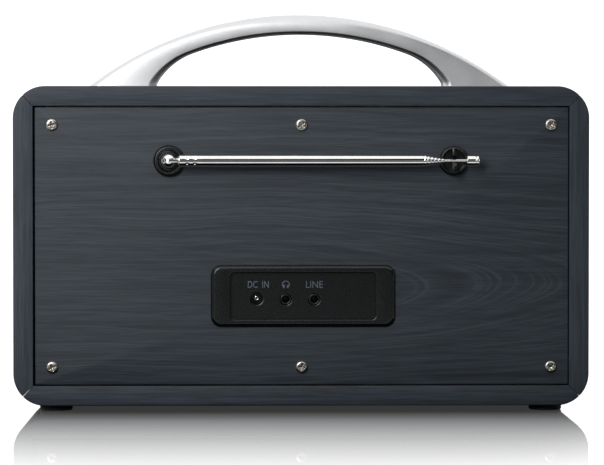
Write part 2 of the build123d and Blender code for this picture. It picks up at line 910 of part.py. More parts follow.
def display():
    """Clear window let into the fascia, and the display behind it on the control board."""
    lens = RectangleRounded(
        display_width + 2 * display_border - 0.2, display_height + 2 * display_border - 0.2, 1.9
    )
    pieces["display_window"] = one(
        slab(lens, 0, display_centre_z, (control_face, control_face + display_lens))
    )
    module = slab(
        Rectangle(display_width + 4, display_height + 4),
        0,
        display_centre_z,
        (control_back + 0.1, control_board_face),
    )
    pieces["display_module"] = one(module)


def control_board():
    """Board behind the fascia, with four key switches and two rotary encoders on its face."""
    back = control_board_face + board_sheet
    low = inner_low_z + baffle_window_margin + control_board_gap
    high = display_centre_z + display_height / 2
    half_width = control_width / 2 - baffle_window_margin - control_board_gap
    board = block((-half_width, half_width), (control_board_face, back), (low, high))
    for x, z in control_posts:
        board -= bar_y(x, z, m3_shank_radius + hole_clearance, (control_board_face - 1, back + 1))
    pieces["control_board"] = one(board)

    key_size, key_height, key_well = 6.0, 3.5, 1.2
    key_face = control_board_face - key_height
    keys = []
    for x in button_places:
        key = slab(Rectangle(key_size, key_size), x, button_row_z, (key_face, control_board_face))
        key -= bar_y(x, button_row_z, 1.8, (key_face - 1, key_face + key_well))
        keys.append(one(key))
    pieces["key_switches"] = Compound(children=keys)

    flange_back = control_back + button_flange
    for name, x in zip(button_names, button_places):
        cap = slab(
            RectangleRounded(button_width, button_height, 1.0),
            x,
            button_row_z,
            (control_face - button_proud, control_back),
        )
        cap = chamfer(cap.edges().group_by(Axis.Y)[0], 0.4)
        flange = Rectangle(button_width + 1.2, button_height + 1.2)
        cap += slab(flange, x, button_row_z, (control_back, flange_back))
        cap += bar_y(x, button_row_z, 1.6, (flange_back, key_face + 0.3))
        pieces[name] = one(cap)


def encoders():
    """Housings on the board; inside each a shaft turns, and the tuning shaft also pushes in."""
    housings = []
    depth = 6.0
    housing_face = control_board_face - depth
    bushing_end = control_face + 0.5
    shaft_bore = shaft_radius + running_gap
    rotor = encoder_cavity_radius - 0.3
    for z in (tuning_knob_z, volume_knob_z):
        housing = slab(Rectangle(encoder_size, encoder_size), 0, z, (housing_face, control_board_face))
        housing += bar_y(0, z, encoder_bushing_radius, (bushing_end, housing_face))
        housing -= bar_y(0, z, encoder_cavity_radius, (housing_face + 1, control_board_face - 0.4))
        housing -= bar_y(0, z, shaft_bore, (bushing_end - 1, housing_face + 2))
        housings.append(one(housing))
    pieces["encoder_housings"] = Compound(children=housings)

    disc = 1.6
    disc_face = housing_face + 1.1
    plunger_face = disc_face + disc + running_gap
    pieces["tuning_plunger"] = one(
        bar_y(0, tuning_knob_z, rotor, (plunger_face, control_board_face - 0.4 - push_travel - 0.1))
    )
    fronts = {"tuning": knob_front, "volume": control_face - volume_knob_proud}
    places = {
        "tuning": (tuning_knob_z, tuning_knob_radius),
        "volume": (volume_knob_z, volume_knob_radius),
    }
    for name, (z, radius) in places.items():
        shaft_front = fronts[name] + 2.5
        shaft_outline = Circle(shaft_radius) - Pos(0, shaft_radius + shaft_flat) * Rectangle(
            2 * shaft_radius, 2 * shaft_radius
        )
        shaft = slab(shaft_outline, 0, z, (shaft_front, control_face - knob_gap))
        shaft += bar_y(0, z, shaft_radius, (control_face - knob_gap, disc_face + disc))
        shaft += bar_y(0, z, rotor, (disc_face, disc_face + disc))
        pieces[f"{name}_shaft"] = one(shaft)
        back = control_face - knob_gap - (push_travel if name == "tuning" else 0)
        front = fronts[name]
        knob = turned(
            [
                (0, back),
                (radius, back),
                (radius, back - knob_skirt),
                (radius - 0.6, back - knob_skirt - 0.4),
                (radius - 1.2, front + 0.9),
                (radius - 2.1, front),
                (radius * 0.8, front),
                (radius * 0.74, front + 0.5),
                (0, front + 0.5),
            ],
            0,
            z,
        )
        knob -= slab(shaft_outline, 0, z, (shaft_front, back + 1))
        pieces[f"{name}_knob"] = one(knob)


# ---------------------------------------------------------------- loose hardware
def internal_screws():
    """The M3 screws of the loudspeakers, the main board and the control board."""
    screws = []
    for side in (-1, 1):
        for x, z in speaker_screw_places(side):
            screws.append(m3(x, z, baffle_face - speaker_flange_thickness, -1))
    for x, z in post_places():
        screws.append(m3(x, z, main_board_face - board_sheet, -1))
    for x, z in control_posts:
        screws.append(m3(x, z, control_board_face + board_sheet, 1))
    pieces["internal_screws"] = Compound(children=screws)


def lead(points, radius):
    """Insulated lead along straight runs joined by tangent arcs."""
    vectors = [Vector(*p) for p in points]
    radii = []
    for a, b, c in zip(vectors, vectors[1:], vectors[2:]):
        turn = math.radians((b - a).get_angle(c - b))
        radii.append(0.45 * min((b - a).length, (c - b).length) / math.tan(turn / 2))
    path = FilletPolyline(*points, radius=radii)
    section = Plane(origin=points[0], z_dir=vectors[1] - vectors[0]) * Circle(radius)
    return one(sweep(section, path=path))


def wiring():
    """Leads from the loudspeakers, antenna and battery to the main board, and to the controls."""
    board_back = main_board_face - board_sheet
    magnet_back = baffle_face + speaker_depth + magnet_thickness
    leads = []
    for side in (-1, 1):
        start = side * (speaker_x - 14)
        end = plate_x + side * 42
        leads.append(
            lead(
                [
                    (start, magnet_back, centre_z - 8),
                    (start, magnet_back + 10, centre_z - 8),
                    (start - side * 12, magnet_back + 20, centre_z - 14),
                    (end, board_back - 16, centre_z - 20),
                    (end, board_back - 8, centre_z - 24),
                    (end, board_back, centre_z - 24),
                ],
                1.2,
            )
        )
    stud_end = panel_back - 1.0 - running_gap - nut_thickness - 1.0
    leads.append(
        lead(
            [
                (pivot_x, stud_end - running_gap, pivot_z),
                (pivot_x, stud_end - 5, pivot_z),
                (pivot_x - 6, stud_end - 10, pivot_z - 12),
                (pivot_x - 16, board_back - 10, pivot_z - 28),
                (plate_x + 44, board_back - 6, plate_z + 24),
                (plate_x + 44, board_back, plate_z + 24),
            ],
            0.9,
        )
    )
    cell_y = 2 * cell_radius + cell_gap
    cell_z = inner_low_z + cell_radius + cell_gap
    leads.append(
        lead(
            [
                (cell_length / 2, cell_y, cell_z),
                (cell_length / 2 + 7, cell_y, cell_z),
                (cell_length / 2 + 11, cell_y + 2, cell_z + 9),
                (plate_x + 23, board_back - 7, plate_z - 24),
                (plate_x + 23, board_back, plate_z - 24),
            ],
            1.0,
        )
    )
    control_back_face = control_board_face + board_sheet
    leads.append(
        lead(
            [
                (0, control_back_face, centre_z + 8),
                (0, control_back_face + 10, centre_z + 8),
                (-3, control_back_face + 30, centre_z + 14),
                (2, board_back - 22, centre_z + 8),
                (plate_x - 8, board_back - 9, plate_z + 24),
                (plate_x - 8, board_back, plate_z + 24),
            ],
            1.6,
        )
    )
    pieces["internal_leads"] = Compound(children=leads)


# ---------------------------------------------------------------- build and export
cabinet()
rubber_feet()
carry_handle()
rear_panel()
connection_plate()
sockets()
main_board()
battery_pack()
antenna_base()
antenna_mast()
antenna_clip(antenna_telescope())
front_baffle()
grilles()
speaker(-1, "left")
speaker(1, "right")
control_panel()
display()
control_board()
encoders()
internal_screws()
wiring()

os.makedirs("parts", exist_ok=True)
for node, shape in pieces.items():
    export_step(shape, f"parts/{node}.step")
print(len(pieces), "nodes")
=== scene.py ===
# %% [markdown]
# # A tabletop radio, seen from behind
# The radio is a box of four mitred boards with a cast handle on top.
# Its back carries a telescopic antenna, a rest clip, a sunk plate of sockets and six screws.
# The mechanical model is already in place as a frame of named nodes, each in its true position.
# This lesson dresses that frame: most visible pieces are made again as finer surfaces, and every
# piece, seen or hidden, gets a finish built from nodes.

# %% Open the frame
import json
import math

import bpy
import numpy as np
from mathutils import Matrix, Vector


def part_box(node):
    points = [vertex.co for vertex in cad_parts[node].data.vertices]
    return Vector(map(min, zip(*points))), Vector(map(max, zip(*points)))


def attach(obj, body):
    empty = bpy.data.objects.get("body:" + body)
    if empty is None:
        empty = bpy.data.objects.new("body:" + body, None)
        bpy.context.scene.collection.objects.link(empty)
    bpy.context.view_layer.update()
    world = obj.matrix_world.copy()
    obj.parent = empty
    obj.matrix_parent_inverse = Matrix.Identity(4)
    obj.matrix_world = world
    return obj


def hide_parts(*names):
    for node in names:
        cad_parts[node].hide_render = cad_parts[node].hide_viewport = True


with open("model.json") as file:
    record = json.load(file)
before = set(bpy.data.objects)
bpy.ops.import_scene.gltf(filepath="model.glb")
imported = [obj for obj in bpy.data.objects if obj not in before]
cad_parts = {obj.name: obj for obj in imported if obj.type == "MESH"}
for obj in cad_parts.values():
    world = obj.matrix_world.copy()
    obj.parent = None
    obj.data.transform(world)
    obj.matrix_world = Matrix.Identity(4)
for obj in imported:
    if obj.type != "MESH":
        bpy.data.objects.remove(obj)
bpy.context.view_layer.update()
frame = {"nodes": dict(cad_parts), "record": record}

record = frame["record"]

# %% [markdown]
# ## Where things are
# Nearly every measure comes from the frame itself, so the new surfaces sit on the old ones.
# A box's lowest and highest corners give a round piece's radius, centre and length.


# %% Read sizes from the frame
def span(node):
    """Lowest and highest corner of a node, as two numpy arrays in metres."""
    low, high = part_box(node)
    return np.array(low), np.array(high)


def middle_of(low, high):
    """The middle of a box as (x, z): half of lowest plus highest corner, without the depth."""
    return (low[0] + high[0]) / 2, (low[2] + high[2]) / 2


MM = 0.001
top_low, top_high = span("cabinet_top")
bottom_low = span("cabinet_bottom")[0]
HALF_W = 0.140
HALF_H = (top_high[2] - bottom_low[2]) / 2
MID_Z = (top_high[2] + bottom_low[2]) / 2
BACK_Y, FRONT_Y = top_high[1], top_low[1]
BOARD = top_high[2] - top_low[2]
CORNER = 15.6 * MM
print("cabinet", 2 * HALF_W, "by", round(2 * HALF_H, 4), "centre height", round(MID_Z, 4))

# %% [markdown]
# ## Camera
# A long lens well back from the radio keeps its edges nearly parallel.
# It stands behind the radio, 25 mm towards the hinge side and below the level of the lid.
# It tips down by a degree and a half, so neither the top nor the underside shows.

# %% Set the camera
camera_data = bpy.data.cameras.new("camera")
camera = bpy.data.objects.new("camera", camera_data)
bpy.context.scene.collection.objects.link(camera)
TIP_DOWN, TURN_IN = math.radians(1.509), math.radians(1.013)
camera.location = (0.0254, 1.505, 0.1255)
camera.rotation_euler = (math.pi / 2 - TIP_DOWN, 0, math.pi - TURN_IN)
camera_data.lens = 178.04
camera_data.sensor_width = 36
camera_data.clip_start = 0.05
camera_data.clip_end = 50
bpy.context.scene.camera = camera
print("camera at", tuple(camera.location))

# %% [markdown]
# ## Node helpers
# A finish is a small network of nodes that ends in one shader.
# Two helpers keep each network readable: one puts down a node and wires or sets its inputs, and one
# starts a material whose shader is ready to be fed.


# %% Helpers for finishes
def put(tree, kind, inputs=None, **settings):
    """Adds a node. Each input is either another node's output, which is wired in, or a plain value."""
    node = tree.nodes.new(kind)
    for key, value in settings.items():
        setattr(node, key, value)
    for key, value in (inputs or {}).items():
        socket = node.inputs[key]
        if isinstance(value, bpy.types.NodeSocket):
            tree.links.new(value, socket)
        else:
            socket.default_value = value
    return node


def start_finish(name, **shader):
    """A new material with its principled shader set: returns the material, its tree and the shader."""
    material = bpy.data.materials.new(name)
    material.use_nodes = True
    tree = material.node_tree
    principled = tree.nodes["Principled BSDF"]
    for key, value in shader.items():
        principled.inputs[key.replace("_", " ")].default_value = value
    return material, tree, principled


def own_coordinates(tree, scale=(1, 1, 1), turn=(0, 0, 0), move=(0, 0, 0)):
    """Coordinates in metres on the piece itself, stretched and turned by a mapping node."""
    source = put(tree, "ShaderNodeTexCoord")
    inputs = {"Vector": source.outputs["Object"], "Scale": scale, "Rotation": turn, "Location": move}
    return put(tree, "ShaderNodeMapping", inputs).outputs[0]


def maths(tree, what, a, b=0.0, clamp=False):
    """One arithmetic node: its operation, and one or two inputs."""
    return put(tree, "ShaderNodeMath", {0: a, 1: b}, operation=what, use_clamp=clamp).outputs[0]


def excess(tree, a, b):
    """How far a lies past b: a minus b, or nothing where a is the smaller."""
    return maths(tree, "MAXIMUM", maths(tree, "SUBTRACT", a, b), 0.0)


def noise(tree, vector, scale, detail=3.0, rough=0.5, **more):
    """A noise texture's value between 0 and 1."""
    inputs = {"Vector": vector, "Scale": scale, "Detail": detail, "Roughness": rough, **more}
    return put(tree, "ShaderNodeTexNoise", inputs).outputs["Fac"]


def ramp(tree, value, stops, smooth=True):
    """Turns a value into a colour through a list of (position, colour) stops."""
    node = put(tree, "ShaderNodeValToRGB", {"Fac": value})
    node.color_ramp.interpolation = "EASE" if smooth else "LINEAR"
    while len(node.color_ramp.elements) < len(stops):
        node.color_ramp.elements.new(0.5)
    for element, (position, colour) in zip(node.color_ramp.elements, stops):
        element.position = position
        if not hasattr(colour, "__len__"):
            colour = (colour, colour, colour)
        element.color = (*colour, 1)
    return node.outputs["Color"]


def blend(tree, factor, a, b, how="MIX"):
    """Mixes two colours."""
    node = put(tree, "ShaderNodeMix", data_type="RGBA", blend_type=how)
    for socket, value in ((node.inputs[0], factor), (node.inputs[6], a), (node.inputs[7], b)):
        if isinstance(value, bpy.types.NodeSocket):
            tree.links.new(value, socket)
        else:
            socket.default_value = value if not hasattr(value, "__len__") else (*value, 1)
    return node.outputs[2]


def relief(tree, shader, height, depth, strength=1.0):
    """Feeds a bump into the shader's normal. depth is how tall the relief is, in metres."""
    node = put(tree, "ShaderNodeBump", {"Height": height, "Strength": strength, "Distance": depth})
    tree.links.new(node.outputs[0], shader.inputs["Normal"])


def feed(tree, shader, **sockets):
    """Wires outputs into the shader's colour, roughness and the like."""
    for key, value in sockets.items():
        tree.links.new(value, shader.inputs[key.replace("_", " ")])


print("finish helpers ready")

# %% [markdown]
# ## Surfaces from rings
# Nearly every piece here is a stack of closed rings: a lathe's circles, a moulding's rounded
# rectangles, or a casting's sections along its arch.
# One function skins such a stack. It joins each ring to the next with four-sided faces, and either
# closes the two ends with fans or joins the last ring to the first.
# A closed skin has a signed volume, so if that comes out negative the faces are turned round.


# %% Skin a stack of rings
def ring_faces(count, around, loop, offset=0):
    """Four-sided faces between neighbouring rings: point (i, j) goes with (i, j+1), (i+1, j+1), (i+1, j)."""
    i = np.arange(count if loop else count - 1)[:, None]
    j = np.arange(around)[None, :]
    k, l = (i + 1) % count, (j + 1) % around
    quads = np.stack([i * around + j, i * around + l, k * around + l, k * around + j], -1)
    return quads.reshape(-1, 4) + offset


def signed_volume(points, faces):
    """A sixth of the sum of each triangle's corner a dotted with b cross c."""
    total = 0.0
    for part in faces:
        for n in range(1, part.shape[1] - 1):
            a, b, c = points[part[:, 0]], points[part[:, n]], points[part[:, n + 1]]
            total += np.einsum("ij,ij->", a, np.cross(b, c)) / 6
    return total


def make_mesh(name, points, faces, soften=35):
    """A mesh object at the origin from an array of points and arrays of faces, turned to face outwards."""
    points = np.asarray(points, float)
    centred = points - points.mean(0)
    if signed_volume(centred, faces) < 0:
        faces = [part[:, ::-1] for part in faces]
    mesh = bpy.data.meshes.new(name)
    mesh.from_pydata(points.tolist(), [], [f for part in faces for f in part.tolist()])
    mesh.polygons.foreach_set("use_smooth", np.ones(len(mesh.polygons), bool))
    mesh.set_sharp_from_angle(angle=math.radians(soften))
    mesh.update()
    piece = bpy.data.objects.new(name, mesh)
    bpy.context.scene.collection.objects.link(piece)
    return piece


def skin(rings, loop=False, poles=(None, None)):
    """Points and faces of a skinned stack. Each open end is closed by a fan to its pole, or to its mean."""
    rings = np.asarray(rings, float)
    count, around, _ = rings.shape
    points = rings.reshape(-1, 3)
    faces = [ring_faces(count, around, loop)]
    if not loop:
        j = np.arange(around)
        l = (j + 1) % around
        for end, pole in ((0, poles[0]), (count - 1, poles[1])):
            centre = rings[end].mean(0) if pole is None else np.asarray(pole, float)
            points = np.vstack([points, centre])
            tip = np.full(around, len(points) - 1)
            a, b = end * around + j, end * around + l
            faces.append(np.stack([b, a, tip] if end == 0 else [a, b, tip], -1))
    return points, faces


def gather(parts):
    """Joins several skins, each already a (points, faces) pair, into one."""
    points, faces, start = [], [], 0
    for p, f in parts:
        points.append(p)
        faces += [part + start for part in f]
        start += len(p)
    return np.vstack(points), faces


def outward(part):
    """The same skin with its faces turned round if it is inside out."""
    points, faces = part
    if signed_volume(points - points.mean(0), faces) < 0:
        faces = [f[:, ::-1] for f in faces]
    return points, faces


print("skinning ready")

# %% [markdown]
# ## Profiles
# A lathe profile is a list of (radius, distance along the axis) corners. On a real turned or
# moulded piece no corner is perfectly sharp, so each corner is replaced by a short arc.
# A rounded rectangle is four quarter circles joined by straight runs.


# %% Profiles, circles and rounded rectangles
def soft_corners(corners, radius, steps=3, closed=False):
    """Cuts each corner by an arc: it starts and ends where the arc of that radius touches both sides."""
    corners = np.asarray(corners, float)
    radii = np.broadcast_to(np.asarray(radius, float), (len(corners),))
    out = []
    for n, point in enumerate(corners):
        if not closed and n in (0, len(corners) - 1):
            out.append(point[None])
            continue
        before, after = corners[n - 1], corners[(n + 1) % len(corners)]
        a, b = before - point, after - point
        la, lb = np.linalg.norm(a), np.linalg.norm(b)
        a, b = a / la, b / lb
        half = np.arccos(np.clip(a @ b, -1, 1)) / 2
        if half > math.radians(88) or radii[n] <= 0:
            out.append(point[None])
            continue
        cut = min(radii[n] / np.tan(half), 0.45 * la, 0.45 * lb)
        t = np.linspace(0, 1, steps + 1)[:, None]
        start, end = point + a * cut, point + b * cut
        out.append((1 - t) ** 2 * start + 2 * t * (1 - t) * point + t**2 * end)
    return np.vstack(out)


AXES = {"x": (0, 1, 2), "y": (1, 2, 0), "z": (2, 0, 1)}


def turn(profile, axis, centre, steps=64, closed=False):
    """A lathe: each (r, a) of the profile becomes a circle of radius r at distance a along the axis."""
    profile = np.asarray(profile, float)
    main, u, v = AXES[axis]
    poles = [None, None]
    if not closed:
        for end, where in ((0, 0), (1, -1)):
            if profile[where, 0] == 0:
                pole = np.array(centre, float)
                pole[main] += profile[where, 1]
                poles[end] = pole
        profile = profile[profile[:, 0] > 0]
    angle = np.arange(steps) * 2 * np.pi / steps
    rings = np.zeros((len(profile), steps, 3)) + np.asarray(centre, float)
    rings[:, :, main] += profile[:, 1, None]
    rings[:, :, u] += profile[:, 0, None] * np.cos(angle)
    rings[:, :, v] += profile[:, 0, None] * np.sin(angle)
    return outward(skin(rings, loop=closed, poles=poles))


def rounded_rectangle(width, height, radius, steps=8):
    """Points round a rounded rectangle: each corner's centre plus radius times (cos, sin) of its angles."""
    sweep = np.linspace(0, np.pi / 2, steps + 1)
    points = []
    for n, (sx, sz) in enumerate(((1, 1), (-1, 1), (-1, -1), (1, -1))):
        angle = sweep + n * np.pi / 2
        x, z = sx * (width / 2 - radius), sz * (height / 2 - radius)
        points.append(np.stack([x + radius * np.cos(angle), z + radius * np.sin(angle)], -1))
    return np.vstack(points)


def at_depth(flat, y):
    """A flat outline of (x, z) points, placed at depth y."""
    return np.stack([flat[:, 0], np.full(len(flat), y), flat[:, 1]], -1)


def moulding(levels, centre, loop=False, steps=8):
    """A stack of rounded rectangles facing along Y. Each level is (width, height, corner radius, y)."""
    rings = []
    for width, height, radius, y in levels:
        flat = rounded_rectangle(width, height, max(radius, 1e-5), steps)
        rings.append(at_depth(flat + centre, y))
    return outward(skin(rings, loop=loop))


def dress(piece, material, body, slot, *nodes):
    """Gives a new piece its finish and its body, and hides the frame nodes that it stands for; slot is not
    used.
    """
    piece.data.materials.append(material)
    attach(piece, body)
    if nodes:
        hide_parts(*nodes)
    return piece


print("profiles ready")

# %% [markdown]
# ## Stained wood
# The boards are dark, stained and closed with a thin satin lacquer. Pores and growth lines stay a
# little paler than the stain, as thin streaks along the board.
# Noise that is squeezed across the grain and stretched along it gives such fibres, at three sizes.
# The rear panel is cut flat through the log, so its growth lines also close into long pointed
# arches: lines at equal distance from an axis, where distance along the board counts for much less.


# %% Finish: stained wood
def stained_wood(name, along, figure=False):
    """Stain times fibres times streaks times growth lines. along is 0 for grain along X, 2 for along Z."""
    material, tree, shader = start_finish(name, Roughness=0.5, Specular_IOR_Level=0.28)
    fine, middling, broad = [1500.0] * 3, [560.0] * 3, [150.0] * 3
    fine[along], middling[along], broad[along] = 60.0, 12.0, 6.0
    fibres = noise(tree, own_coordinates(tree, fine), 1.0, 3, 0.62)
    threads = noise(tree, own_coordinates(tree, middling, move=(7, 3, 9)), 1.0, 3, 0.6)
    streaks = noise(tree, own_coordinates(tree, broad, move=(3, 5, 7)), 1.0, 3, 0.6)
    wander = noise(tree, own_coordinates(tree, (14, 14, 14)), 1.0, 2)
    tone = 0.97 if figure else 1.22
    deep, pale = (0.0290, 0.0372, 0.0480), (0.0322, 0.0410, 0.0520)
    shades = [(0.3, [c * tone for c in deep]), (0.7, [c * tone for c in pale])]
    colour = ramp(tree, wander, shades)
    for value, low, high in ((fibres, 0.82, 1.20), (threads, 0.90, 1.12), (streaks, 0.93, 1.07)):
        colour = blend(tree, 1.0, colour, ramp(tree, value, [(0.36, low), (0.64, high)]), "MULTIPLY")
    height = maths(tree, "ADD", fibres, threads)
    if figure:
        log_height, arch_tip, squeeze, lines_per_metre = 0.0605, 0.045, 0.155, 300.0
        parts = put(tree, "ShaderNodeSeparateXYZ", {0: own_coordinates(tree)})
        bend = noise(tree, own_coordinates(tree, (7, 7, 18)), 1.0, 2)
        lift = maths(tree, "MULTIPLY", maths(tree, "SUBTRACT", bend, 0.5), 0.016)
        across = maths(tree, "ADD", maths(tree, "SUBTRACT", parts.outputs[2], log_height), lift)
        ahead = excess(tree, arch_tip, parts.outputs[0])
        squeezed = maths(tree, "MULTIPLY", ahead, squeeze)
        squares = maths(tree, "ADD", maths(tree, "POWER", across, 2.0), maths(tree, "POWER", squeezed, 2.0))
        rings = maths(tree, "MULTIPLY", maths(tree, "SQRT", squares), lines_per_metre)
        ring = {"W": rings, "Detail": 2.5, "Scale": 1.0}
        year = put(tree, "ShaderNodeTexNoise", ring, noise_dimensions="1D").outputs["Fac"]
        stops = [(0.36, 0.0), (0.48, 0.30), (0.53, 1.0), (0.58, 0.15), (0.65, 0.45), (0.69, 1.0), (0.74, 0.2)]
        lines = ramp(tree, year, stops)
        worn = noise(tree, own_coordinates(tree, (22, 22, 260)), 1.0, 3)
        broken = ramp(tree, worn, [(0.35, 0.3), (0.62, 1.0)])
        lines = maths(tree, "MULTIPLY", lines, broken)
        colour = blend(tree, maths(tree, "MULTIPLY", lines, 0.65), colour, (0.062, 0.076, 0.091))
        height = maths(tree, "SUBTRACT", height, lines)
    gloss = ramp(tree, threads, [(0.3, 0.42), (0.7, 0.58)])
    feed(tree, shader, Base_Color=colour, Roughness=gloss)
    relief(tree, shader, height, 0.02 * MM, 0.4)
    return material


wood_along = stained_wood("stained_wood_along", 0)
wood_upright = stained_wood("stained_wood_upright", 2)
wood_figured = stained_wood("stained_wood_figured", 0, figure=True)
print("three cuts of stained wood")


# %% [markdown]
# ## Metals
# The handle is a casting, blasted and lacquered: bright, but with a soft fine sparkle and no clear
# reflections. Its broad faces stay bright; on its narrow edges, whose normal has little Y in it, and on
# whatever faces down, shade is painted into the colour as a grey.
# The antenna is chrome on brass, nearly a mirror, with faint wipe marks.
# The screws are plated steel, duller, and a little warm.


# %% Finishes: cast silver, chrome and plated steel
def metal(name, colour, low, high, grain, depth, wipe=30.0, metallic=1.0, **shader):
    """A metal whose roughness wanders between low and high, with a fine grain as relief."""
    material, tree, principled = start_finish(name, Metallic=metallic, **shader)
    smear = noise(tree, own_coordinates(tree, (wipe, wipe, wipe)), 1.0, 4, 0.6)
    grit = noise(tree, own_coordinates(tree, (grain, grain, grain)), 1.0, 2)
    tint = ramp(tree, smear, [(0.3, [c * 0.95 for c in colour]), (0.7, colour)])
    tint = blend(tree, 1.0, tint, ramp(tree, grit, [(0.3, 0.93), (0.7, 1.0)]), "MULTIPLY")
    feed(tree, principled, Base_Color=tint, Roughness=ramp(tree, smear, [(0.3, low), (0.7, high)]))
    relief(tree, principled, grit, depth, 0.5)
    return material


cast_silver = metal("cast_silver", (0.785, 0.79, 0.80), 0.34, 0.44, 2200.0, 0.03 * MM, metallic=0.72)
tree = cast_silver.node_tree
shader = tree.nodes["Principled BSDF"]
# painted shade: the colour turns grey where the normal has little Y in it, on the narrow edges and the top,
# and where it faces down
normal = put(tree, "ShaderNodeSeparateXYZ", {0: put(tree, "ShaderNodeTexCoord").outputs["Normal"]})
facing, below = normal.outputs[1], maths(tree, "MULTIPLY", maths(tree, "ADD", normal.outputs[2], 1.0), 0.5)
edge = ramp(tree, maths(tree, "ABSOLUTE", facing), [(0.05, 0.25), (0.13, 0.70), (0.20, 1.0)], smooth=False)
under = ramp(tree, below, [(0.22, 0.22), (0.34, 0.5), (0.47, 1.0)], smooth=False)
bright = shader.inputs["Base Color"].links[0].from_socket
feed(tree, shader, Base_Color=blend(tree, 1.0, blend(tree, 1.0, bright, edge, "MULTIPLY"), under, "MULTIPLY"))
chrome = metal("chrome", (0.90, 0.895, 0.88), 0.03, 0.08, 900.0, 0.001 * MM, wipe=120.0)
plated_steel = metal("plated_steel", (0.50, 0.475, 0.43), 0.20, 0.34, 1400.0, 0.006 * MM, wipe=400.0)
print("three metals")


# %% [markdown]
# ## Plastics, rubber and plain wood
# Moulded black plastic has the fine spark texture of its tool. Rubber is matt and a little dusty.
# The unseen baffle, cleats and grille frames are plain pale wood, with the grain of the boards.


# %% Finishes: plastics, rubber, boards
def moulded(name, colour, rough, texture=1800.0, depth=0.02 * MM, **shader):
    """Moulded plastic or rubber: one colour that wanders by a few percent, and a spark-eroded texture."""
    material, tree, principled = start_finish(name, **shader)
    cloud = noise(tree, own_coordinates(tree, (45, 45, 45)), 1.0, 3)
    spark = noise(tree, own_coordinates(tree, (texture, texture, texture)), 1.0, 2, 0.6)
    shades = [(0.3, [c * 0.85 for c in colour]), (0.7, [c * 1.15 for c in colour])]
    feed(tree, principled, Base_Color=ramp(tree, cloud, shades))
    feed(tree, principled, Roughness=ramp(tree, spark, [(0.3, rough - 0.05), (0.7, rough + 0.05)]))
    relief(tree, principled, spark, depth, 0.5)
    return material


def plain_wood(name):
    """Unfinished pale wood with its grain along X."""
    material, tree, principled = start_finish(name, Roughness=0.7, Specular_IOR_Level=0.3)
    rings = noise(tree, own_coordinates(tree, (8, 160, 160)), 1.0, 4, 0.6)
    fibres = noise(tree, own_coordinates(tree, (60, 1400, 1400)), 1.0, 3)
    colour = ramp(tree, rings, [(0.3, (0.40, 0.28, 0.17)), (0.7, (0.58, 0.44, 0.29))])
    colour = blend(tree, 0.25, colour, ramp(tree, fibres, [(0.3, 0.4), (0.7, 1.0)]), "MULTIPLY")
    feed(tree, principled, Base_Color=colour)
    relief(tree, principled, fibres, 0.04 * MM)
    return material


black_plastic = moulded(
    "black_plastic", (0.0020, 0.0032, 0.0036), 0.24, depth=0.012 * MM, Specular_IOR_Level=0.5
)
key_plastic = moulded("key_plastic", (0.020, 0.021, 0.023), 0.34, texture=2600.0, depth=0.008 * MM)
knob_plastic = moulded("knob_plastic", (0.014, 0.015, 0.016), 0.38, texture=2400.0, depth=0.01 * MM)
rubber = moulded("rubber", (0.045, 0.045, 0.045), 0.78, texture=900.0, depth=0.03 * MM)
circuit_board = moulded("circuit_board", (0.012, 0.075, 0.030), 0.35, texture=700.0)
component_black = moulded("component_black", (0.018, 0.018, 0.019), 0.5)
cell_sleeve = moulded("cell_sleeve", (0.02, 0.07, 0.24), 0.3, texture=500.0)
basket_paint = moulded("basket_paint", (0.015, 0.015, 0.016), 0.45)
magnet_grey = moulded("magnet_grey", (0.055, 0.055, 0.057), 0.55, texture=700.0)
cone_pulp = moulded("cone_pulp", (0.022, 0.022, 0.023), 0.85, texture=600.0, depth=0.05 * MM)
lead_sleeve = moulded("lead_sleeve", (0.16, 0.018, 0.014), 0.4)
label_ink = moulded("label_ink", (0.092, 0.128, 0.165), 0.55, texture=3000.0, depth=0.004 * MM)
pale_ink = moulded("pale_ink", (0.42, 0.44, 0.46), 0.5, texture=3000.0, depth=0.004 * MM)
bare_wood = plain_wood("bare_wood")
print("plastics, rubber and plain wood")

# %% [markdown]
# ## Grille cloth, window and lit display
# The cloth is a plain weave of thick dark yarn: two families of rounded threads pass over and under
# each other, so each family stands high where the other dips. Sine waves across X and Z give both.
# The window is smoky acrylic, and the display behind it lights its segments in a cool white.


# %% Finishes: cloth, window, lit segments
def woven(name, pitch):
    """Height is the larger of two threads: |sin| across each, lifted at every other crossing."""
    material, tree, principled = start_finish(name, Roughness=0.85, Sheen_Weight=0.25, Sheen_Roughness=0.5)
    parts = put(tree, "ShaderNodeSeparateXYZ", {0: own_coordinates(tree)})
    wobble = noise(tree, own_coordinates(tree, (160, 160, 160)), 1.0, 2)
    step = math.pi / pitch
    sway = maths(tree, "MULTIPLY", wobble, 0.9)
    across, up = (
        maths(tree, "ADD", maths(tree, "MULTIPLY", parts.outputs[n], step), sway) for n in (0, 2)
    )
    warp = maths(tree, "ABSOLUTE", maths(tree, "SINE", across))
    weft = maths(tree, "ABSOLUTE", maths(tree, "SINE", up))
    over = maths(tree, "MULTIPLY", maths(tree, "COSINE", across), maths(tree, "COSINE", up))
    lift = maths(tree, "MULTIPLY", over, 0.35)
    warp_height = maths(tree, "ADD", warp, lift)
    weft_height = maths(tree, "SUBTRACT", weft, lift)
    height = maths(tree, "MAXIMUM", warp_height, weft_height)
    slub = noise(tree, own_coordinates(tree, (90, 90, 900)), 1.0, 3)
    # painted shade: the colour darkens from each thread's crown down into the dips between the threads
    colour = ramp(tree, height, [(0.35, (0.006, 0.006, 0.007)), (1.0, (0.050, 0.052, 0.056))], smooth=False)
    colour = blend(tree, 1.0, colour, ramp(tree, slub, [(0.3, 0.90), (0.7, 1.10)]), "MULTIPLY")
    feed(tree, principled, Base_Color=colour)
    relief(tree, principled, height, 0.12 * MM, 0.9)
    return material


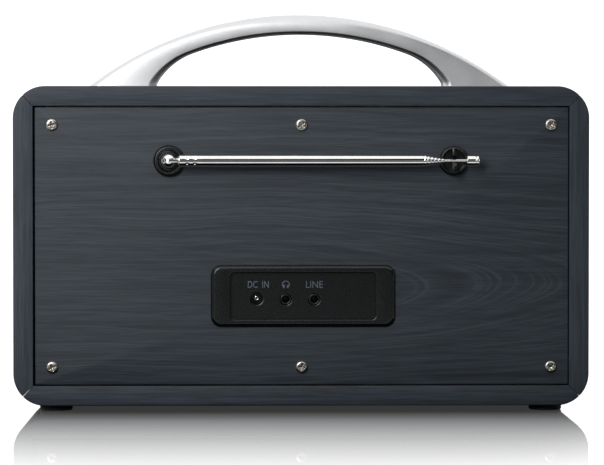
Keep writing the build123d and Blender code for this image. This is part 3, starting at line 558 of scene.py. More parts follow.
grille_weave = woven("grille_weave", 0.62 * MM)
smoky_window, tree, shader = start_finish("smoky_window", Transmission_Weight=0.9, IOR=1.49, Roughness=0.05)
rub = noise(tree, own_coordinates(tree, (70, 70, 70)), 1.0, 4, 0.6)
feed(tree, shader, Roughness=ramp(tree, rub, [(0.35, 0.03), (0.75, 0.10)]))
feed(tree, shader, Base_Color=ramp(tree, rub, [(0.3, (0.30, 0.32, 0.34)), (0.7, (0.36, 0.38, 0.40))]))
lit_segment, tree, shader = start_finish("lit_segment", Roughness=0.5, Emission_Strength=1.6)
glow = noise(tree, own_coordinates(tree, (300, 300, 300)), 1.0, 2)
cool = ramp(tree, glow, [(0.3, (0.50, 0.72, 0.95)), (0.7, (0.62, 0.84, 1.0))])
feed(tree, shader, Base_Color=cool, Emission_Color=cool)
print("cloth, window and lit segments")

# %% [markdown]
# ## The hidden pieces
# Nodes that stay as they are only need a finish. The record says which material slot each one has,
# so one table of slots covers them all.

# %% Dress the nodes by slot
slot_finish = {
    "cabinet_wood": wood_along,
    "panel_wood": wood_figured,
    "plain_wood": bare_wood,
    "handle_metal": cast_silver,
    "screw_steel": plated_steel,
    "chrome": chrome,
    "black_plastic": black_plastic,
    "button_plastic": key_plastic,
    "knob_plastic": knob_plastic,
    "rubber": rubber,
    "circuit_board": circuit_board,
    "component_black": component_black,
    "cell_can": cell_sleeve,
    "basket_steel": basket_paint,
    "magnet": magnet_grey,
    "cone_paper": cone_pulp,
    "lead_sleeve": lead_sleeve,
    "grille_cloth": grille_weave,
    "window": smoky_window,
}
for part in record["subparts"]:
    finish = slot_finish.get(part["material_slot"])
    if finish is not None:
        node = frame["nodes"][part["node"]]
        node.data.materials.clear()
        node.data.materials.append(finish)
print("finishes for", len(record["subparts"]), "nodes")

# %% [markdown]
# ## Cabinet boards
# Four boards are mitred at 45 degrees and glued, and the outer corners are rounded afterwards.
# A board's section is a rectangle whose two long outer edges are eased. Each station along the board
# joins a point on the outer line to one on the inner line, and past the straight part the outer line
# follows the corner's arc while the inner line runs on to the sharp inside corner.
# Each board stops a seventh of a millimetre short of the mitre, so the joint shows as a hairline.


# %% Boards of the cabinet
def board(name, along, outwards, half_length, half_height, material):
    """Stations O (outer) and I (inner); a section point is O or I plus an offset along the line O to I."""
    straight = half_length - CORNER
    s = np.linspace(-straight, straight, 15)
    turn_angle = np.linspace(0, np.pi / 4, 11)[1:]
    arc_s = straight + CORNER * np.sin(turn_angle)
    arc_h = half_height - CORNER * (1 - np.cos(turn_angle))
    inner_arc = np.linspace(straight, half_length - BOARD, len(turn_angle) + 1)[1:]
    gap = 0.14 * MM
    outer_s = np.concatenate([-arc_s[::-1], s, arc_s])
    outer_h = np.concatenate([arc_h[::-1], np.full(len(s), half_height), arc_h])
    inner_s = np.concatenate([-inner_arc[::-1], s, inner_arc])
    inner_h = np.full(len(inner_s), half_height - BOARD)
    for line in (outer_s, inner_s):
        line[0] += gap
        line[-1] -= gap
    outer = np.stack([outer_s, outer_h], -1)
    inner = np.stack([inner_s, inner_h], -1)
    toward = inner - outer
    toward /= np.linalg.norm(toward, axis=1, keepdims=True)
    ease, inside = 0.8 * MM, 0.45 * MM
    section = []
    bend = np.linspace(0, np.pi / 2, 5)
    for y, sign in ((BACK_Y, 1), (FRONT_Y, -1)):
        outer_edge = [(y - sign * ease * (1 - math.sin(b)), 0, ease * (1 - math.cos(b))) for b in bend]
        inner_edge = [(y - sign * inside * (1 - math.cos(b)), 1, -inside * (1 - math.sin(b))) for b in bend]
        # at the back the section runs from the outer edge to the inner one, at the front back again
        section += outer_edge + inner_edge if sign > 0 else inner_edge[::-1] + outer_edge[::-1]
    section = np.array(section)
    which, offset = section[:, 1], section[:, 2]
    flat = (
        outer[:, None] * (1 - which)[None, :, None]
        + inner[:, None] * which[None, :, None]
        + toward[:, None] * offset[None, :, None]
    )
    rings = (
        flat[..., 0, None] * np.array(along, float)
        + flat[..., 1, None] * np.array(outwards, float)
        + np.array([0, 0, MID_Z])
    )
    rings[..., 1] = section[None, :, 0]
    points, faces = skin(rings)
    piece = make_mesh(name, points, faces)
    return dress(piece, material, "cabinet", "cabinet_wood", name.replace("board", "cabinet"))


board("board_top", (1, 0, 0), (0, 0, 1), HALF_W, HALF_H, wood_along)
board("board_bottom", (1, 0, 0), (0, 0, -1), HALF_W, HALF_H, wood_along)
board("board_left", (0, 0, 1), (-1, 0, 0), HALF_H, HALF_W, wood_upright)
board("board_right", (0, 0, 1), (1, 0, 0), HALF_H, HALF_W, wood_upright)
print("four boards, eased by 0.8 mm")

# %% [markdown]
# ## Rear panel
# The panel is one inset board with a window for the connection plate. Its edge is eased all round,
# which draws a thin light line inside the dark gap.
# It is a closed loop of rings: up the outer edge, across the face to the window, back through it.

# %% Rear panel with its window
panel_low, panel_high = span("rear_panel")
panel_size = panel_high - panel_low
panel_centre = (panel_low + panel_high) / 2
plate_low, plate_high = span("connection_plate")
plate_centre = (plate_low + plate_high) / 2
PANEL_Y = panel_high[1]
window = (75.0 * MM, 27.1 * MM, 4.3 * MM)
ease = 0.45 * MM
outer_levels = [(0.0, panel_low[1])]
for b in np.linspace(0, np.pi / 2, 4):
    outer_levels.append((ease * (1 - math.cos(b)), PANEL_Y - ease * (1 - math.sin(b))))
rings = []
for inset, y in outer_levels:
    flat = rounded_rectangle(panel_size[0] - 2 * inset, panel_size[2] - 2 * inset, 0.6 * MM)
    rings.append(at_depth(flat + [panel_centre[0], panel_centre[2]], y))
flat = rounded_rectangle(*window) + [plate_centre[0], plate_centre[2]]
for y in (PANEL_Y, panel_low[1]):
    rings.append(at_depth(flat, y))
panel = make_mesh("panel_rear", *skin(rings, loop=True))
dress(panel, wood_figured, "cabinet", "panel_wood", "rear_panel")
print("rear panel", np.round(panel_size * 1000, 1), "mm")

# %% [markdown]
# ## Carrying handle
# The handle is one casting: a single arc outside, and inside a flat arch whose shoulders turn down
# into the legs. A station joins a point of the outer line to one of the inner line.
# Around each station the section is flat on top, generously rounded over its outer edge, flat on its
# face, and cut by a bevel inside that widens from the crown to the legs.


# %% Handle
def arch_lines(count):
    """Outer arc by equal angles; inner arch by equal steps of length along its three arcs."""
    half_span, rise = 106.5 * MM, 36.6 * MM
    radius = (half_span**2 + rise**2) / (2 * rise)
    opening = math.asin(half_span / radius)
    angle = np.linspace(-opening, opening, count)
    outer = np.stack([radius * np.sin(angle), rise - radius * (1 - np.cos(angle))], -1)
    inner_rise, big, shoulder, foot = 27.3 * MM, 158 * MM, 53.8 * MM, 73.3 * MM
    bend = math.asin(shoulder / big)
    start = np.array([shoulder, inner_rise - big * (1 - math.cos(bend))])
    # the small arc starts along the big one's tangent and ends at the foot
    tangent = np.array([math.cos(bend), -math.sin(bend)])
    normal = np.array([-math.sin(bend), -math.cos(bend)])
    reach = np.array([foot, 0.0]) - start
    small = (reach @ reach) / (2 * reach @ normal)
    centre = start + normal * small
    swing = 2 * math.atan2(reach @ normal, reach @ tangent)
    along_big, along_small = big * bend, small * swing
    t = np.linspace(-(along_big + along_small), along_big + along_small, count)
    a = np.abs(t)
    big_x, big_z = big * np.sin(a / big), inner_rise - big * (1 - np.cos(a / big))
    phi = np.clip((a - along_big) / small, 0, None) + bend
    small_x, small_z = centre[0] + small * np.sin(phi), centre[1] + small * np.cos(phi)
    first = a <= along_big
    inner = np.stack([np.sign(t) * np.where(first, big_x, small_x), np.where(first, big_z, small_z)], -1)
    # the last two millimetres of each leg stand upright on the board
    inner[:, 0] = np.clip(inner[:, 0], -71.9 * MM, 71.9 * MM)
    return outer, inner


outer, inner = arch_lines(121)
toward = inner - outer
thick = np.linalg.norm(toward, axis=1)
toward /= thick[:, None]
legs = np.clip((thick - thick.min()) / (thick.max() - thick.min()), 0, 1)
bevel = (1.0 + 2.9 * legs**0.8) * MM
half = 12.0 * MM
round_over = 4.3 * MM
b = np.linspace(0, np.pi / 2, 9)
# a section point is (depth, which line, offset from it): outer edge, then inner bevel, on each side
columns_y, columns_point = [], []
for sign in (1, -1):
    edge_y = half - round_over * (1 - np.sin(b))
    edge_off = (1.35 * round_over * (1 - np.cos(b)))[None, :].repeat(len(thick), 0)
    edge = outer[:, None] + toward[:, None] * edge_off[..., None]
    soft = np.array([0.0, 0.12, 0.5, 0.88, 1.0])
    bevel_y = half - 1.7 * MM * np.array([0.0, 0.02, 0.42, 0.94, 1.0])
    bevel_off = bevel[:, None] * (1 - soft)[None, :]
    cut = inner[:, None] - toward[:, None] * bevel_off[..., None]
    ys = np.concatenate([edge_y, bevel_y]) * sign
    pts = np.concatenate([edge, cut], 1)
    columns_y.append(ys if sign > 0 else ys[::-1])
    columns_point.append(pts if sign > 0 else pts[:, ::-1])
section_y = np.concatenate(columns_y)
flat = np.concatenate(columns_point, 1)
rings = np.zeros((*flat.shape[:2], 3))
rings[..., 0] = flat[..., 0]
rings[..., 1] = section_y[None, :]
rings[..., 2] = flat[..., 1] + top_high[2]
handle = make_mesh("handle_cast", *skin(rings), soften=50)
dress(handle, cast_silver, "cabinet", "handle_metal", "carry_handle")
print("handle", np.round((rings.reshape(-1, 3).max(0) - rings.reshape(-1, 3).min(0)) * 1000, 1), "mm")

# %% [markdown]
# ## Screws
# Six pan-head screws with a cross recess hold the panel. The head is a grid of radius by angle whose
# height is a dome minus a cross-shaped hollow: two crossed slots with soft sides.


# %% Rear screws
def screw_head(x, z, turned, radius, tall, y0):
    """Height is a dome that falls to the rim, less a cross of two slots; a short skirt closes it below."""
    ring_r = np.concatenate([np.linspace(0.04, 0.62, 16), np.linspace(0.66, 1.0, 9)]) * radius
    angle = np.arange(72) * 2 * np.pi / 72
    u = ring_r[:, None] * np.cos(angle)
    w = ring_r[:, None] * np.sin(angle)
    dome = tall * (1 - 0.40 * (ring_r / radius) ** 7)[:, None] + 0 * u
    arm, reach = 0.15 * radius, 0.56 * radius
    soft = 0.08 * radius

    def slot(p, q):
        inside = np.clip((arm - np.abs(p)) / soft + 0.5, 0, 1)
        near = np.clip((reach - np.abs(q)) / (2 * soft) + 0.5, 0, 1)
        return inside * near

    hollow = np.maximum(slot(u, w), slot(w, u)) * tall * (1.15 - 0.6 * ring_r / reach)[:, None].clip(0.3, 1)
    height = dome - hollow
    rings = np.zeros((len(ring_r) + 1, 72, 3))
    c, s = math.cos(turned), math.sin(turned)
    rings[:-1, :, 0], rings[:-1, :, 2] = x + c * u - s * w, z + s * u + c * w
    rings[:-1, :, 1] = y0 + height
    rings[-1] = rings[-2]
    rings[-1, :, 1] = y0 - 0.1 * MM
    middle = (x, y0 + tall - tall * 1.12, z)
    return outward(skin(rings, poles=(middle, None)))


screw_low, screw_high = span("rear_panel_screws")
head_r = 2.85 * MM
heads = []
turns = np.radians([38, 12, 64, 25, 50, 80])
places = [(x, z) for z in (screw_low[2] + head_r, screw_high[2] - head_r) for x in (-1, 0, 1)]
tall = screw_high[1] - PANEL_Y
for (x, z), turned in zip(places, turns):
    heads.append(screw_head(x * (screw_high[0] - head_r), z, turned, head_r, tall, PANEL_Y))
screws = make_mesh("screws_rear", *gather(heads), soften=60)
dress(screws, plated_steel, "cabinet", "screw_steel", "rear_panel_screws")
print(len(heads), "screws")

# %% [markdown]
# ## Antenna
# The telescope is six thin tubes and a rod, one inside the other. Each tube is a lathe profile that
# goes down the outside, rolls in at the lip and comes back up the bore.
# The outer tube is crimped onto its knuckle by two rings of small dimples, pressed in with a punch.


# %% Tubes, rod and tip
def tube_points(node, wall, lip=0.13 * MM):
    """Profile of a tube along X: outside, a groove behind the rolled lip, bore. x is measured from 0."""
    low, high = span(node)
    radius = (high[2] - low[2]) / 2
    centre = (0, (low[1] + high[1]) / 2, (low[2] + high[2]) / 2)
    sunk = radius - 0.24 * MM
    groove = [(radius, low[0] + 1.7 * MM), (sunk, low[0] + 1.35 * MM), (radius, low[0] + 0.95 * MM)]
    end = [(radius, low[0] + 0.35 * MM), (sunk, low[0])]
    end += [(radius - wall, low[0]), (radius - wall, high[0])]
    return soft_corners([(radius, high[0])] + groove + end, lip, 3, closed=True), centre, radius


def crimped(points, centre, radius, places, depth=0.35 * MM, across=0.55 * MM, count=6):
    """Pushes the skin in by depth times a bell in x times a bell in angle, at each crimp place."""
    out = points.copy()
    y, z = points[:, 1] - centre[1], points[:, 2] - centre[2]
    r, angle = np.hypot(y, z), np.arctan2(z, y)
    push = np.zeros(len(points))
    for place in places:
        gap = (angle * count / (2 * np.pi)) % 1 - 0.5
        around = gap * 2 * np.pi * radius / count
        push += depth * np.exp(-(((points[:, 0] - place) / across) ** 2) - (around / across) ** 2)
    scale = (r - push) / r
    out[:, 1], out[:, 2] = centre[1] + y * scale, centre[2] + z * scale
    return out


WALL = 0.28 * MM
low, high = span("antenna_tube")
profile, centre, radius = tube_points("antenna_tube", WALL)
dense = np.linspace(high[0] - 0.3 * MM, high[0] - 10 * MM, 70)
outside = np.stack([np.full(70, radius), dense], -1)
inside = np.stack([np.full(70, radius - WALL), dense[::-1]], -1)
lip_in = [(radius - 0.12 * MM, high[0]), (radius, high[0] - 0.12 * MM)]
lip_out = [(radius, low[0] + 1.5 * MM), (radius - 0.2 * MM, low[0] + 1.2 * MM), (radius, low[0] + 0.9 * MM)]
lip_out += [(radius, low[0] + 0.25 * MM), (radius - 0.1 * MM, low[0] + 0.05 * MM)]
lip_out += [(radius - 0.2 * MM, low[0]), (radius - WALL, low[0] + 0.05 * MM)]
profile = np.vstack([lip_in, outside, lip_out, inside, [(radius - WALL, high[0])]])
points, faces = turn(profile, "x", centre, 96, closed=True)
crimps = [high[0] - 3.8 * MM, high[0] - 7.5 * MM]
points = crimped(points, centre, radius, crimps)
tube = make_mesh("mast_tube", points, faces)
dress(tube, chrome, "antenna_mast", "chrome", "antenna_tube")
for n in range(1, 6):
    profile, centre, radius = tube_points(f"antenna_section_{n}", WALL)
    section = make_mesh(f"mast_section_{n}", *turn(profile, "x", centre, 64, closed=True))
    dress(section, chrome, f"antenna_stage_{n}", "chrome", f"antenna_section_{n}")
low, high = span("antenna_tip")
radius = (high[2] - low[2]) / 2
corners = [
    (0, low[0]),
    (radius - 0.5 * MM, low[0]),
    (radius, low[0] + 0.5 * MM),
    (radius, low[0] + 1.3 * MM),
    (radius - 0.28 * MM, low[0] + 1.5 * MM),
    (radius - 0.28 * MM, low[0] + 1.8 * MM),
    (radius, low[0] + 2.0 * MM),
    (radius, high[0] - 0.5 * MM),
    (radius - 0.5 * MM, high[0]),
    (0, high[0]),
]
tip = make_mesh("mast_tip", *turn(soft_corners(corners, 0.15 * MM), "x", centre, 64))
dress(tip, chrome, "antenna_whip", "chrome", "antenna_tip")
low, high = span("antenna_rod")
rod_radius = (high[2] - low[2]) / 2
corners = [(0, low[0]), (rod_radius, low[0]), (rod_radius, high[0]), (0, high[0])]
rod = make_mesh("mast_rod", *turn(soft_corners(corners, 0.1 * MM), "x", centre, 40))
dress(rod, chrome, "antenna_whip", "chrome", "antenna_rod")
print("antenna: tube, five sections, rod and tip")

# %% [markdown]
# ## Fork and knuckle
# The mast's foot is a turned stud with a domed head, sawn through by a slot. A flat tongue stands in
# the slot on a pin, and swells into a cone that fills the mouth of the outer tube.
# Seen along the pin each half of the head is a stack of arches that shrink with height above the slot:
# at height h the arch is sqrt(r^2 - h^2) wide.


# %% Fork and knuckle
def flat_rings(outlines, heights):
    """Outlines in X and Y, one per height z, stacked into rings."""
    return np.array([[(x, y, z) for x, y in outline] for outline, z in zip(outlines, heights)])


def arch(half_width, foot, middle, steps=24):
    """Up one side, half a circle round the middle, and down the other side to the foot."""
    angle = np.linspace(0, np.pi, steps)
    x = np.concatenate([[half_width], half_width * np.cos(angle), [-half_width]])
    y = np.concatenate([[foot], middle + half_width * np.sin(angle), [foot]])
    return np.stack([x, y], -1)


stud_low, stud_high = span("antenna_stud")
fork_r = (stud_high[0] - stud_low[0]) / 2
pivot_x, pivot_z = middle_of(stud_low, stud_high)
pivot_y = stud_high[1] - fork_r
slot_half, slot_floor = 0.85 * MM, pivot_y - 3.1 * MM
fork_foot = PANEL_Y + 1.45 * MM
parts = []
for sign in (1, -1):
    heights = fork_r * np.sin(np.linspace(math.asin(slot_half / fork_r), np.pi / 2, 14)[:-1])
    heights = np.append(heights, fork_r * 0.9995)
    widths = np.sqrt(fork_r**2 - heights**2)
    outlines = [arch(w, fork_foot, pivot_y) + [pivot_x, 0] for w in widths]
    parts.append(outward(skin(flat_rings(outlines, pivot_z + sign * heights))))
heights = np.linspace(-slot_half, slot_half, 5)
outlines = []
for h in heights:
    w = math.sqrt(fork_r**2 - h**2)
    corners = [(-w, fork_foot), (w, fork_foot), (w, slot_floor), (-w, slot_floor)]
    outlines.append(np.array(corners) + [pivot_x, 0])
parts.append(outward(skin(flat_rings(outlines, pivot_z + heights))))
stem = [(0, -8 * MM), (2.5 * MM, -8 * MM), (2.5 * MM, 1.5 * MM), (0, 1.5 * MM)]
parts.append(turn(stem, "y", (pivot_x, PANEL_Y, pivot_z), 40))
fork = make_mesh("mast_fork", *gather(parts), soften=40)
dress(fork, chrome, "antenna_swivel", "chrome", "antenna_stud")

tube_low, tube_high = span("antenna_tube")
mouth, bore = tube_high[0], (tube_high[2] - tube_low[2]) / 2 - WALL
cone = [
    (0, mouth - 9.8 * MM),
    (bore - 0.02 * MM, mouth - 9.8 * MM),
    (bore - 0.02 * MM, mouth + 0.1 * MM),
    (bore * 0.72, mouth + 0.9 * MM),
    (bore * 0.38, mouth + 2.0 * MM),
    (0, mouth + 2.3 * MM),
]
cone = turn(soft_corners(cone, 0.25 * MM), "x", (0, pivot_y, pivot_z), 48)
outlines = []
angle = np.linspace(-0.62 * np.pi, 0.62 * np.pi, 30)
for inset in (0.12, 0.0, 0.0, 0.12):
    r = (2.9 - inset) * MM
    head = np.stack([pivot_x + r * np.cos(angle), pivot_y + r * np.sin(angle)], -1)
    neck = [(mouth - 0.5 * MM, pivot_y + 1.9 * MM), (mouth - 0.5 * MM, pivot_y - 1.9 * MM)]
    outlines.append(np.vstack([head, neck]))
heights = pivot_z + np.array([-0.75, -0.63, 0.63, 0.75]) * MM
tongue = outward(skin(flat_rings(outlines, heights)))
knuckle = make_mesh("mast_knuckle", *gather([cone, tongue]), soften=45)
dress(knuckle, chrome, "antenna_mast", "chrome", "antenna_knuckle")
print("fork radius", round(fork_r * 1000, 2), "mm")

# %% [markdown]
# ## Antenna bushing
# The mast's foot turns in a black moulded ring with a shallow well. Its outer edge is rounded, and
# catches the light along its upper half.

# %% Bushing
low, high = span("antenna_bushing")
rim = high[1]
corners = [
    (2.55 * MM, PANEL_Y - 1 * MM),
    (7.6 * MM, PANEL_Y - 0.2 * MM),
    (7.6 * MM, rim - 1.1 * MM),
    (6.7 * MM, rim),
    (5.5 * MM, rim),
    (5.1 * MM, rim - 0.5 * MM),
    (4.9 * MM, rim - 1.55 * MM),
    (2.55 * MM, rim - 1.6 * MM),
]
profile = soft_corners(corners, [0, 0, 0.5 * MM, 0.5 * MM, 0.3 * MM, 0.3 * MM, 0.3 * MM, 0], 4, closed=True)
bushing = make_mesh("bushing_ring", *turn(profile, "y", (pivot_x, 0, pivot_z), 96, closed=True))
dress(bushing, black_plastic, "cabinet", "black_plastic", "antenna_bushing")
print("bushing at", round(pivot_x, 4), round(pivot_z, 4))

# %% [markdown]
# ## Antenna clip
# At the far end a round button with a bevelled rim carries a thin upright fin. A notch in the fin has
# a round seat for the rod and flares to its mouth, so the rod snaps in.
# The fin's outline is drawn in depth and height and stacked across its thickness.

# %% Clip
low, high = span("antenna_clip")
clip_x, clip_r = (low[0] + high[0]) / 2, (high[2] - low[2]) / 2
face = PANEL_Y + 3.4 * MM
corners = [(0, PANEL_Y - 5.5 * MM), (2.9 * MM, PANEL_Y - 5.5 * MM), (2.9 * MM, PANEL_Y - 0.1 * MM)]
corners += [(clip_r, PANEL_Y - 0.1 * MM), (clip_r, face - 1.1 * MM), (clip_r - 1.0 * MM, face)]
corners += [(clip_r - 1.7 * MM, face), (clip_r - 2.1 * MM, face - 0.5 * MM), (0, face - 0.5 * MM)]
button = turn(soft_corners(corners, 0.35 * MM), "y", (clip_x, 0, pivot_z), 96)
seat = rod_radius + 0.06 * MM
top, base, reach = high[1], face - 0.9 * MM, 6.1 * MM
sweep = np.linspace(-0.17 * np.pi, -0.83 * np.pi, 12)
notch = [(pivot_z + seat * math.cos(a), pivot_y + seat * math.sin(a)) for a in sweep]
flare = [(pivot_z + 2.6 * MM, top), (pivot_z + seat * 0.92, pivot_y + seat * 0.55)]
outline = [(pivot_z + reach, base), (pivot_z + reach, top)] + flare + notch
outline += [(2 * pivot_z - z, y) for z, y in flare[::-1]] + [(pivot_z - reach, top), (pivot_z - reach, base)]
outline = soft_corners(outline, 0.25 * MM, 3, closed=True)
middle = np.array([pivot_z, base + 0.3 * MM])
rings = []
for x, shrink in ((-1.0, 0.12), (-0.88, 0.0), (0.88, 0.0), (1.0, 0.12)):
    pull = middle - outline
    pull *= shrink * MM / np.linalg.norm(pull, axis=1, keepdims=True)
    drawn = outline + pull
    rings.append(np.stack([np.full(len(drawn), clip_x + x * MM), drawn[:, 1], drawn[:, 0]], -1))
poles = [(clip_x + x * MM, middle[1], middle[0]) for x in (-1.0, 1.0)]
fin = outward(skin(rings, poles=poles))
clip = make_mesh("clip_button", *gather([button, fin]), soften=40)
dress(clip, black_plastic, "cabinet", "black_plastic", "antenna_clip")
print("clip radius", round(clip_r * 1000, 2), "mm")

# %% [markdown]
# ## Connection plate
# A moulded plate laps over the panel. Its outer edge is bevelled, and inside it a shallow pocket
# holds the sockets. The pocket's edge is rounded by half a millimetre, which draws a fine light line
# wherever it faces the light.
# The rim is a closed loop of rounded rectangles: out, over the bevel, in, and down into the pocket.
# The floor is three blocks side by side, each a rectangle with a round hole: rays from the hole's
# centre meet the rectangle's sides, and the corners are among the rays.

# %% Connection plate
wide, tall = 89.8 * MM, 30.3 * MM
pocket_w, pocket_h = 70.7 * MM, 22.8 * MM
face_y = plate_high[1]
pocket_y = face_y - 2.6 * MM
edge = [(0.0, -1.85), (0.0, -1.5), (0.12, -1.25), (1.25, -0.18), (1.55, -0.03), (1.9, 0.0)]
levels = [(wide - 2 * a * MM, tall - 2 * a * MM, (5.2 - a) * MM, face_y + b * MM) for a, b in edge]
lip = [(0.62, 0.0), (0.35, -0.05), (0.14, -0.2), (0.02, -0.42), (0.0, -0.7), (0.0, -2.7)]
levels += [(pocket_w + 2 * a * MM, pocket_h + 2 * a * MM, (2.2 + a) * MM, face_y + b * MM) for a, b in lip]
levels += [
    (pocket_w + 3.4 * MM, pocket_h + 3.4 * MM, 3.9 * MM, face_y - 2.7 * MM),
    (pocket_w + 3.4 * MM, pocket_h + 3.4 * MM, 3.9 * MM, face_y - 1.85 * MM),
]
rim = moulding(levels, (plate_centre[0], plate_centre[2]), loop=True, steps=10)


def pierced_block(x, z, hole, y, lip, rays=72):
    """Ring 1 is where each ray leaves the rectangle; the rest close in on the hole and go down it."""
    cx, cz, radius = hole
    corner = [math.atan2(b - cz, a - cx) for a in x for b in z]
    angle = np.sort(np.concatenate([np.linspace(-np.pi, np.pi, rays, endpoint=False), corner]))
    c, s = np.cos(angle), np.sin(angle)
    with np.errstate(divide="ignore"):
        along_x = np.where(c > 0, (x[1] - cx) / c, (x[0] - cx) / c)
        along_z = np.where(s > 0, (z[1] - cz) / s, (z[0] - cz) / s)
    out = np.minimum(np.abs(along_x), np.abs(along_z))
    rings = []
    steps = [(out, y[0]), (radius + 3 * lip, y[0]), (radius + 2 * lip, y[0]), (radius + lip, y[0])]
    steps += [(radius + lip * 0.3, y[0] - lip * 0.3), (radius, y[0] - lip), (radius, y[1]), (out, y[1])]
    for r, depth in steps:
        rings.append(np.stack([cx + r * c, np.full(len(angle), depth), cz + r * s], -1))
    return outward(skin(rings, loop=True))


holes = [("dc_socket", 3.3 * MM), ("headphone_socket", 2.9 * MM), ("aux_socket", 2.9 * MM)]
centres = [(*middle_of(*span(node)), radius) for node, radius in holes]
over = 1.5 * MM
left, right = plate_centre[0] + pocket_w / 2 + over, plate_centre[0] - pocket_w / 2 - over
walls = [left, (centres[0][0] + centres[1][0]) / 2, (centres[1][0] + centres[2][0]) / 2, right]
floor_z = (plate_centre[2] - pocket_h / 2 - over, plate_centre[2] + pocket_h / 2 + over)
blocks = [
    pierced_block((walls[n + 1], walls[n]), floor_z, centres[n], (pocket_y, pocket_y - 2.4 * MM), 0.25 * MM)
    for n in range(3)
]
plate = make_mesh("plate_sockets", *gather([rim] + blocks), soften=35)
dress(plate, black_plastic, "cabinet", "black_plastic", "connection_plate")
print("plate rim", len(rim[0]), "points, pocket floor", sum(len(b[0]) for b in blocks), "points")

# %% [markdown]
# ## Sockets
# A jack socket shows its moulded nose: a ring with a round lip and a smooth bore.
# The power socket has a bare round well with a hollow pin in its middle.

# %% Sockets
for (node, _), name in zip(holes[1:], ("jack_headphone", "jack_aux")):
    low, high = span(node)
    (x, z), nose = middle_of(low, high), high[1]
    corners = [(2.7, -14.0), (2.7, 0.0), (1.8, 0.0), (1.8, -13.0), (0.9, -13.2), (0.9, -14.0)]
    profile = soft_corners(np.array(corners) * MM, 0.28 * MM, 4, closed=True)
    ring = turn(profile, "y", (x, nose, z), 64, closed=True)
    back = moulding([(7.9 * MM, 9.9 * MM, 0.4 * MM, nose + d * MM) for d in (-15.0, -13.6)], (x, z))
    jack = make_mesh(name, *gather([ring, back]), soften=40)
    dress(jack, black_plastic, "cabinet", "black_plastic", node)
low, high = span("dc_socket")
x, z = centres[0][:2]
pin_end = high[1] - 0.9 * MM
corners = [(1.02, -8.0), (1.02, 0.0), (0.5, 0.0), (0.5, -2.5), (0.3, -2.6), (0.3, -8.0)]
profile = soft_corners(np.array(corners) * MM, 0.22 * MM, 4, closed=True)
pin = make_mesh("dc_pin", *turn(profile, "y", (x, pin_end, z), 48, closed=True), soften=40)
dress(pin, chrome, "cabinet", "chrome")
print("two jacks and a power pin")

# %% [markdown]
# ## Labels
# A printed word or sign is a film of ink a few hundredths of a millimetre thick. The words come from
# the built-in font, turned into a mesh and then set on the plate; seen from behind, a word runs
# towards -X. The headphones are an arch of constant width with two rounded cups.


# %% Labels on the plate
def prism(outline, y0, y1):
    """A flat outline of (x, z) points, thickened between two depths."""
    return outward(skin([at_depth(np.asarray(outline, float), y) for y in (y0, y1)]))


def arc_band(centre, radius, width, start, end, y0, y1, steps=28):
    """A band along an arc: at each angle a small rectangle across the band and through its depth."""
    angle = np.linspace(start, end, steps)[:, None]
    r = radius + width / 2 * np.array([-1, 1, 1, -1])
    y = np.array([y0, y0, y1, y1]) + 0 * angle
    rings = np.stack([centre[0] + r * np.cos(angle), y, centre[1] + r * np.sin(angle)], -1)
    return outward(skin(rings))


def printed_word(name, word, centre, width, height, y):
    """Scales the word's own box to width by height and lays it flat on the plate, facing +Y."""
    curve = bpy.data.curves.new(name, "FONT")
    curve.body = word
    curve.extrude = 0.5
    curve.space_word = 1.9
    curve.resolution_u = 6
    maker = bpy.data.objects.new(name + "_maker", curve)
    mesh = bpy.data.meshes.new_from_object(maker)
    bpy.data.objects.remove(maker)
    points = np.zeros(len(mesh.vertices) * 3)
    mesh.vertices.foreach_get("co", points)
    points = points.reshape(-1, 3)
    low, high = points.min(0), points.max(0)
    u = ((points - low) / (high - low) - 0.5) * [width, height, 0.03 * MM]
    placed = np.stack([centre[0] - u[:, 0], y + u[:, 2], centre[1] + u[:, 1]], -1)
    mesh.vertices.foreach_set("co", placed.ravel())
    mesh.materials.clear()
    mesh.update()
    piece = bpy.data.objects.new(name, mesh)
    bpy.context.scene.collection.objects.link(piece)
    return piece


label_z = plate_centre[2] + 5.6 * MM
ink_y = pocket_y + 0.015 * MM
for name, word, x, width in (("label_power", "DC IN", 21.0, 10.2), ("label_line", "LINE", -6.3, 8.2)):
    label = printed_word(name, word, (x * MM, label_z), width * MM, 3.3 * MM, ink_y)
    dress(label, label_ink, "cabinet", "black_plastic")
x, ink = 7.6 * MM, (pocket_y, pocket_y + 0.03 * MM)
head_z = label_z - 0.1 * MM
signs = [arc_band((x, head_z), 1.7 * MM, 0.46 * MM, -0.15 * np.pi, 1.15 * np.pi, *ink)]
for side in (-1, 1):
    cup = rounded_rectangle(0.85 * MM, 1.75 * MM, 0.3 * MM, 4) + [x + side * 0.95 * MM, head_z - 0.85 * MM]
    signs.append(prism(cup, *ink))
sign = make_mesh("label_headphones", *gather(signs))
dress(sign, label_ink, "cabinet", "black_plastic")
print("labels at height", round(label_z, 4))

# %% [markdown]
# ## Feet
# Four soft rubber pads are stuck under the corners. Their lower edge is rounded.

# %% Rubber feet
foot_low, foot_high = span("rubber_feet")
foot_r, foot_tall = 8.0 * MM, foot_high[2]
corners = [(0, 0), (foot_r - 0.5 * MM, 0), (foot_r, 0.6 * MM), (foot_r, foot_tall), (0, foot_tall)]
profile = soft_corners(corners, 0.3 * MM)
places = [
    (x, y)
    for x in (foot_low[0] + foot_r, foot_high[0] - foot_r)
    for y in (foot_low[1] + foot_r, foot_high[1] - foot_r)
]
feet = make_mesh("feet_rubber", *gather([turn(profile, "z", (x, y, 0), 56) for x, y in places]), soften=50)
dress(feet, rubber, "cabinet", "rubber", "rubber_feet")
print("feet", round(foot_tall * 1000, 1), "mm high")

# %% [markdown]
# ## Grille cloths
# On each side of the front a dark cloth is stretched over a frame and folded round its edge.
# It is one thin flat sheet with a rounded rim.

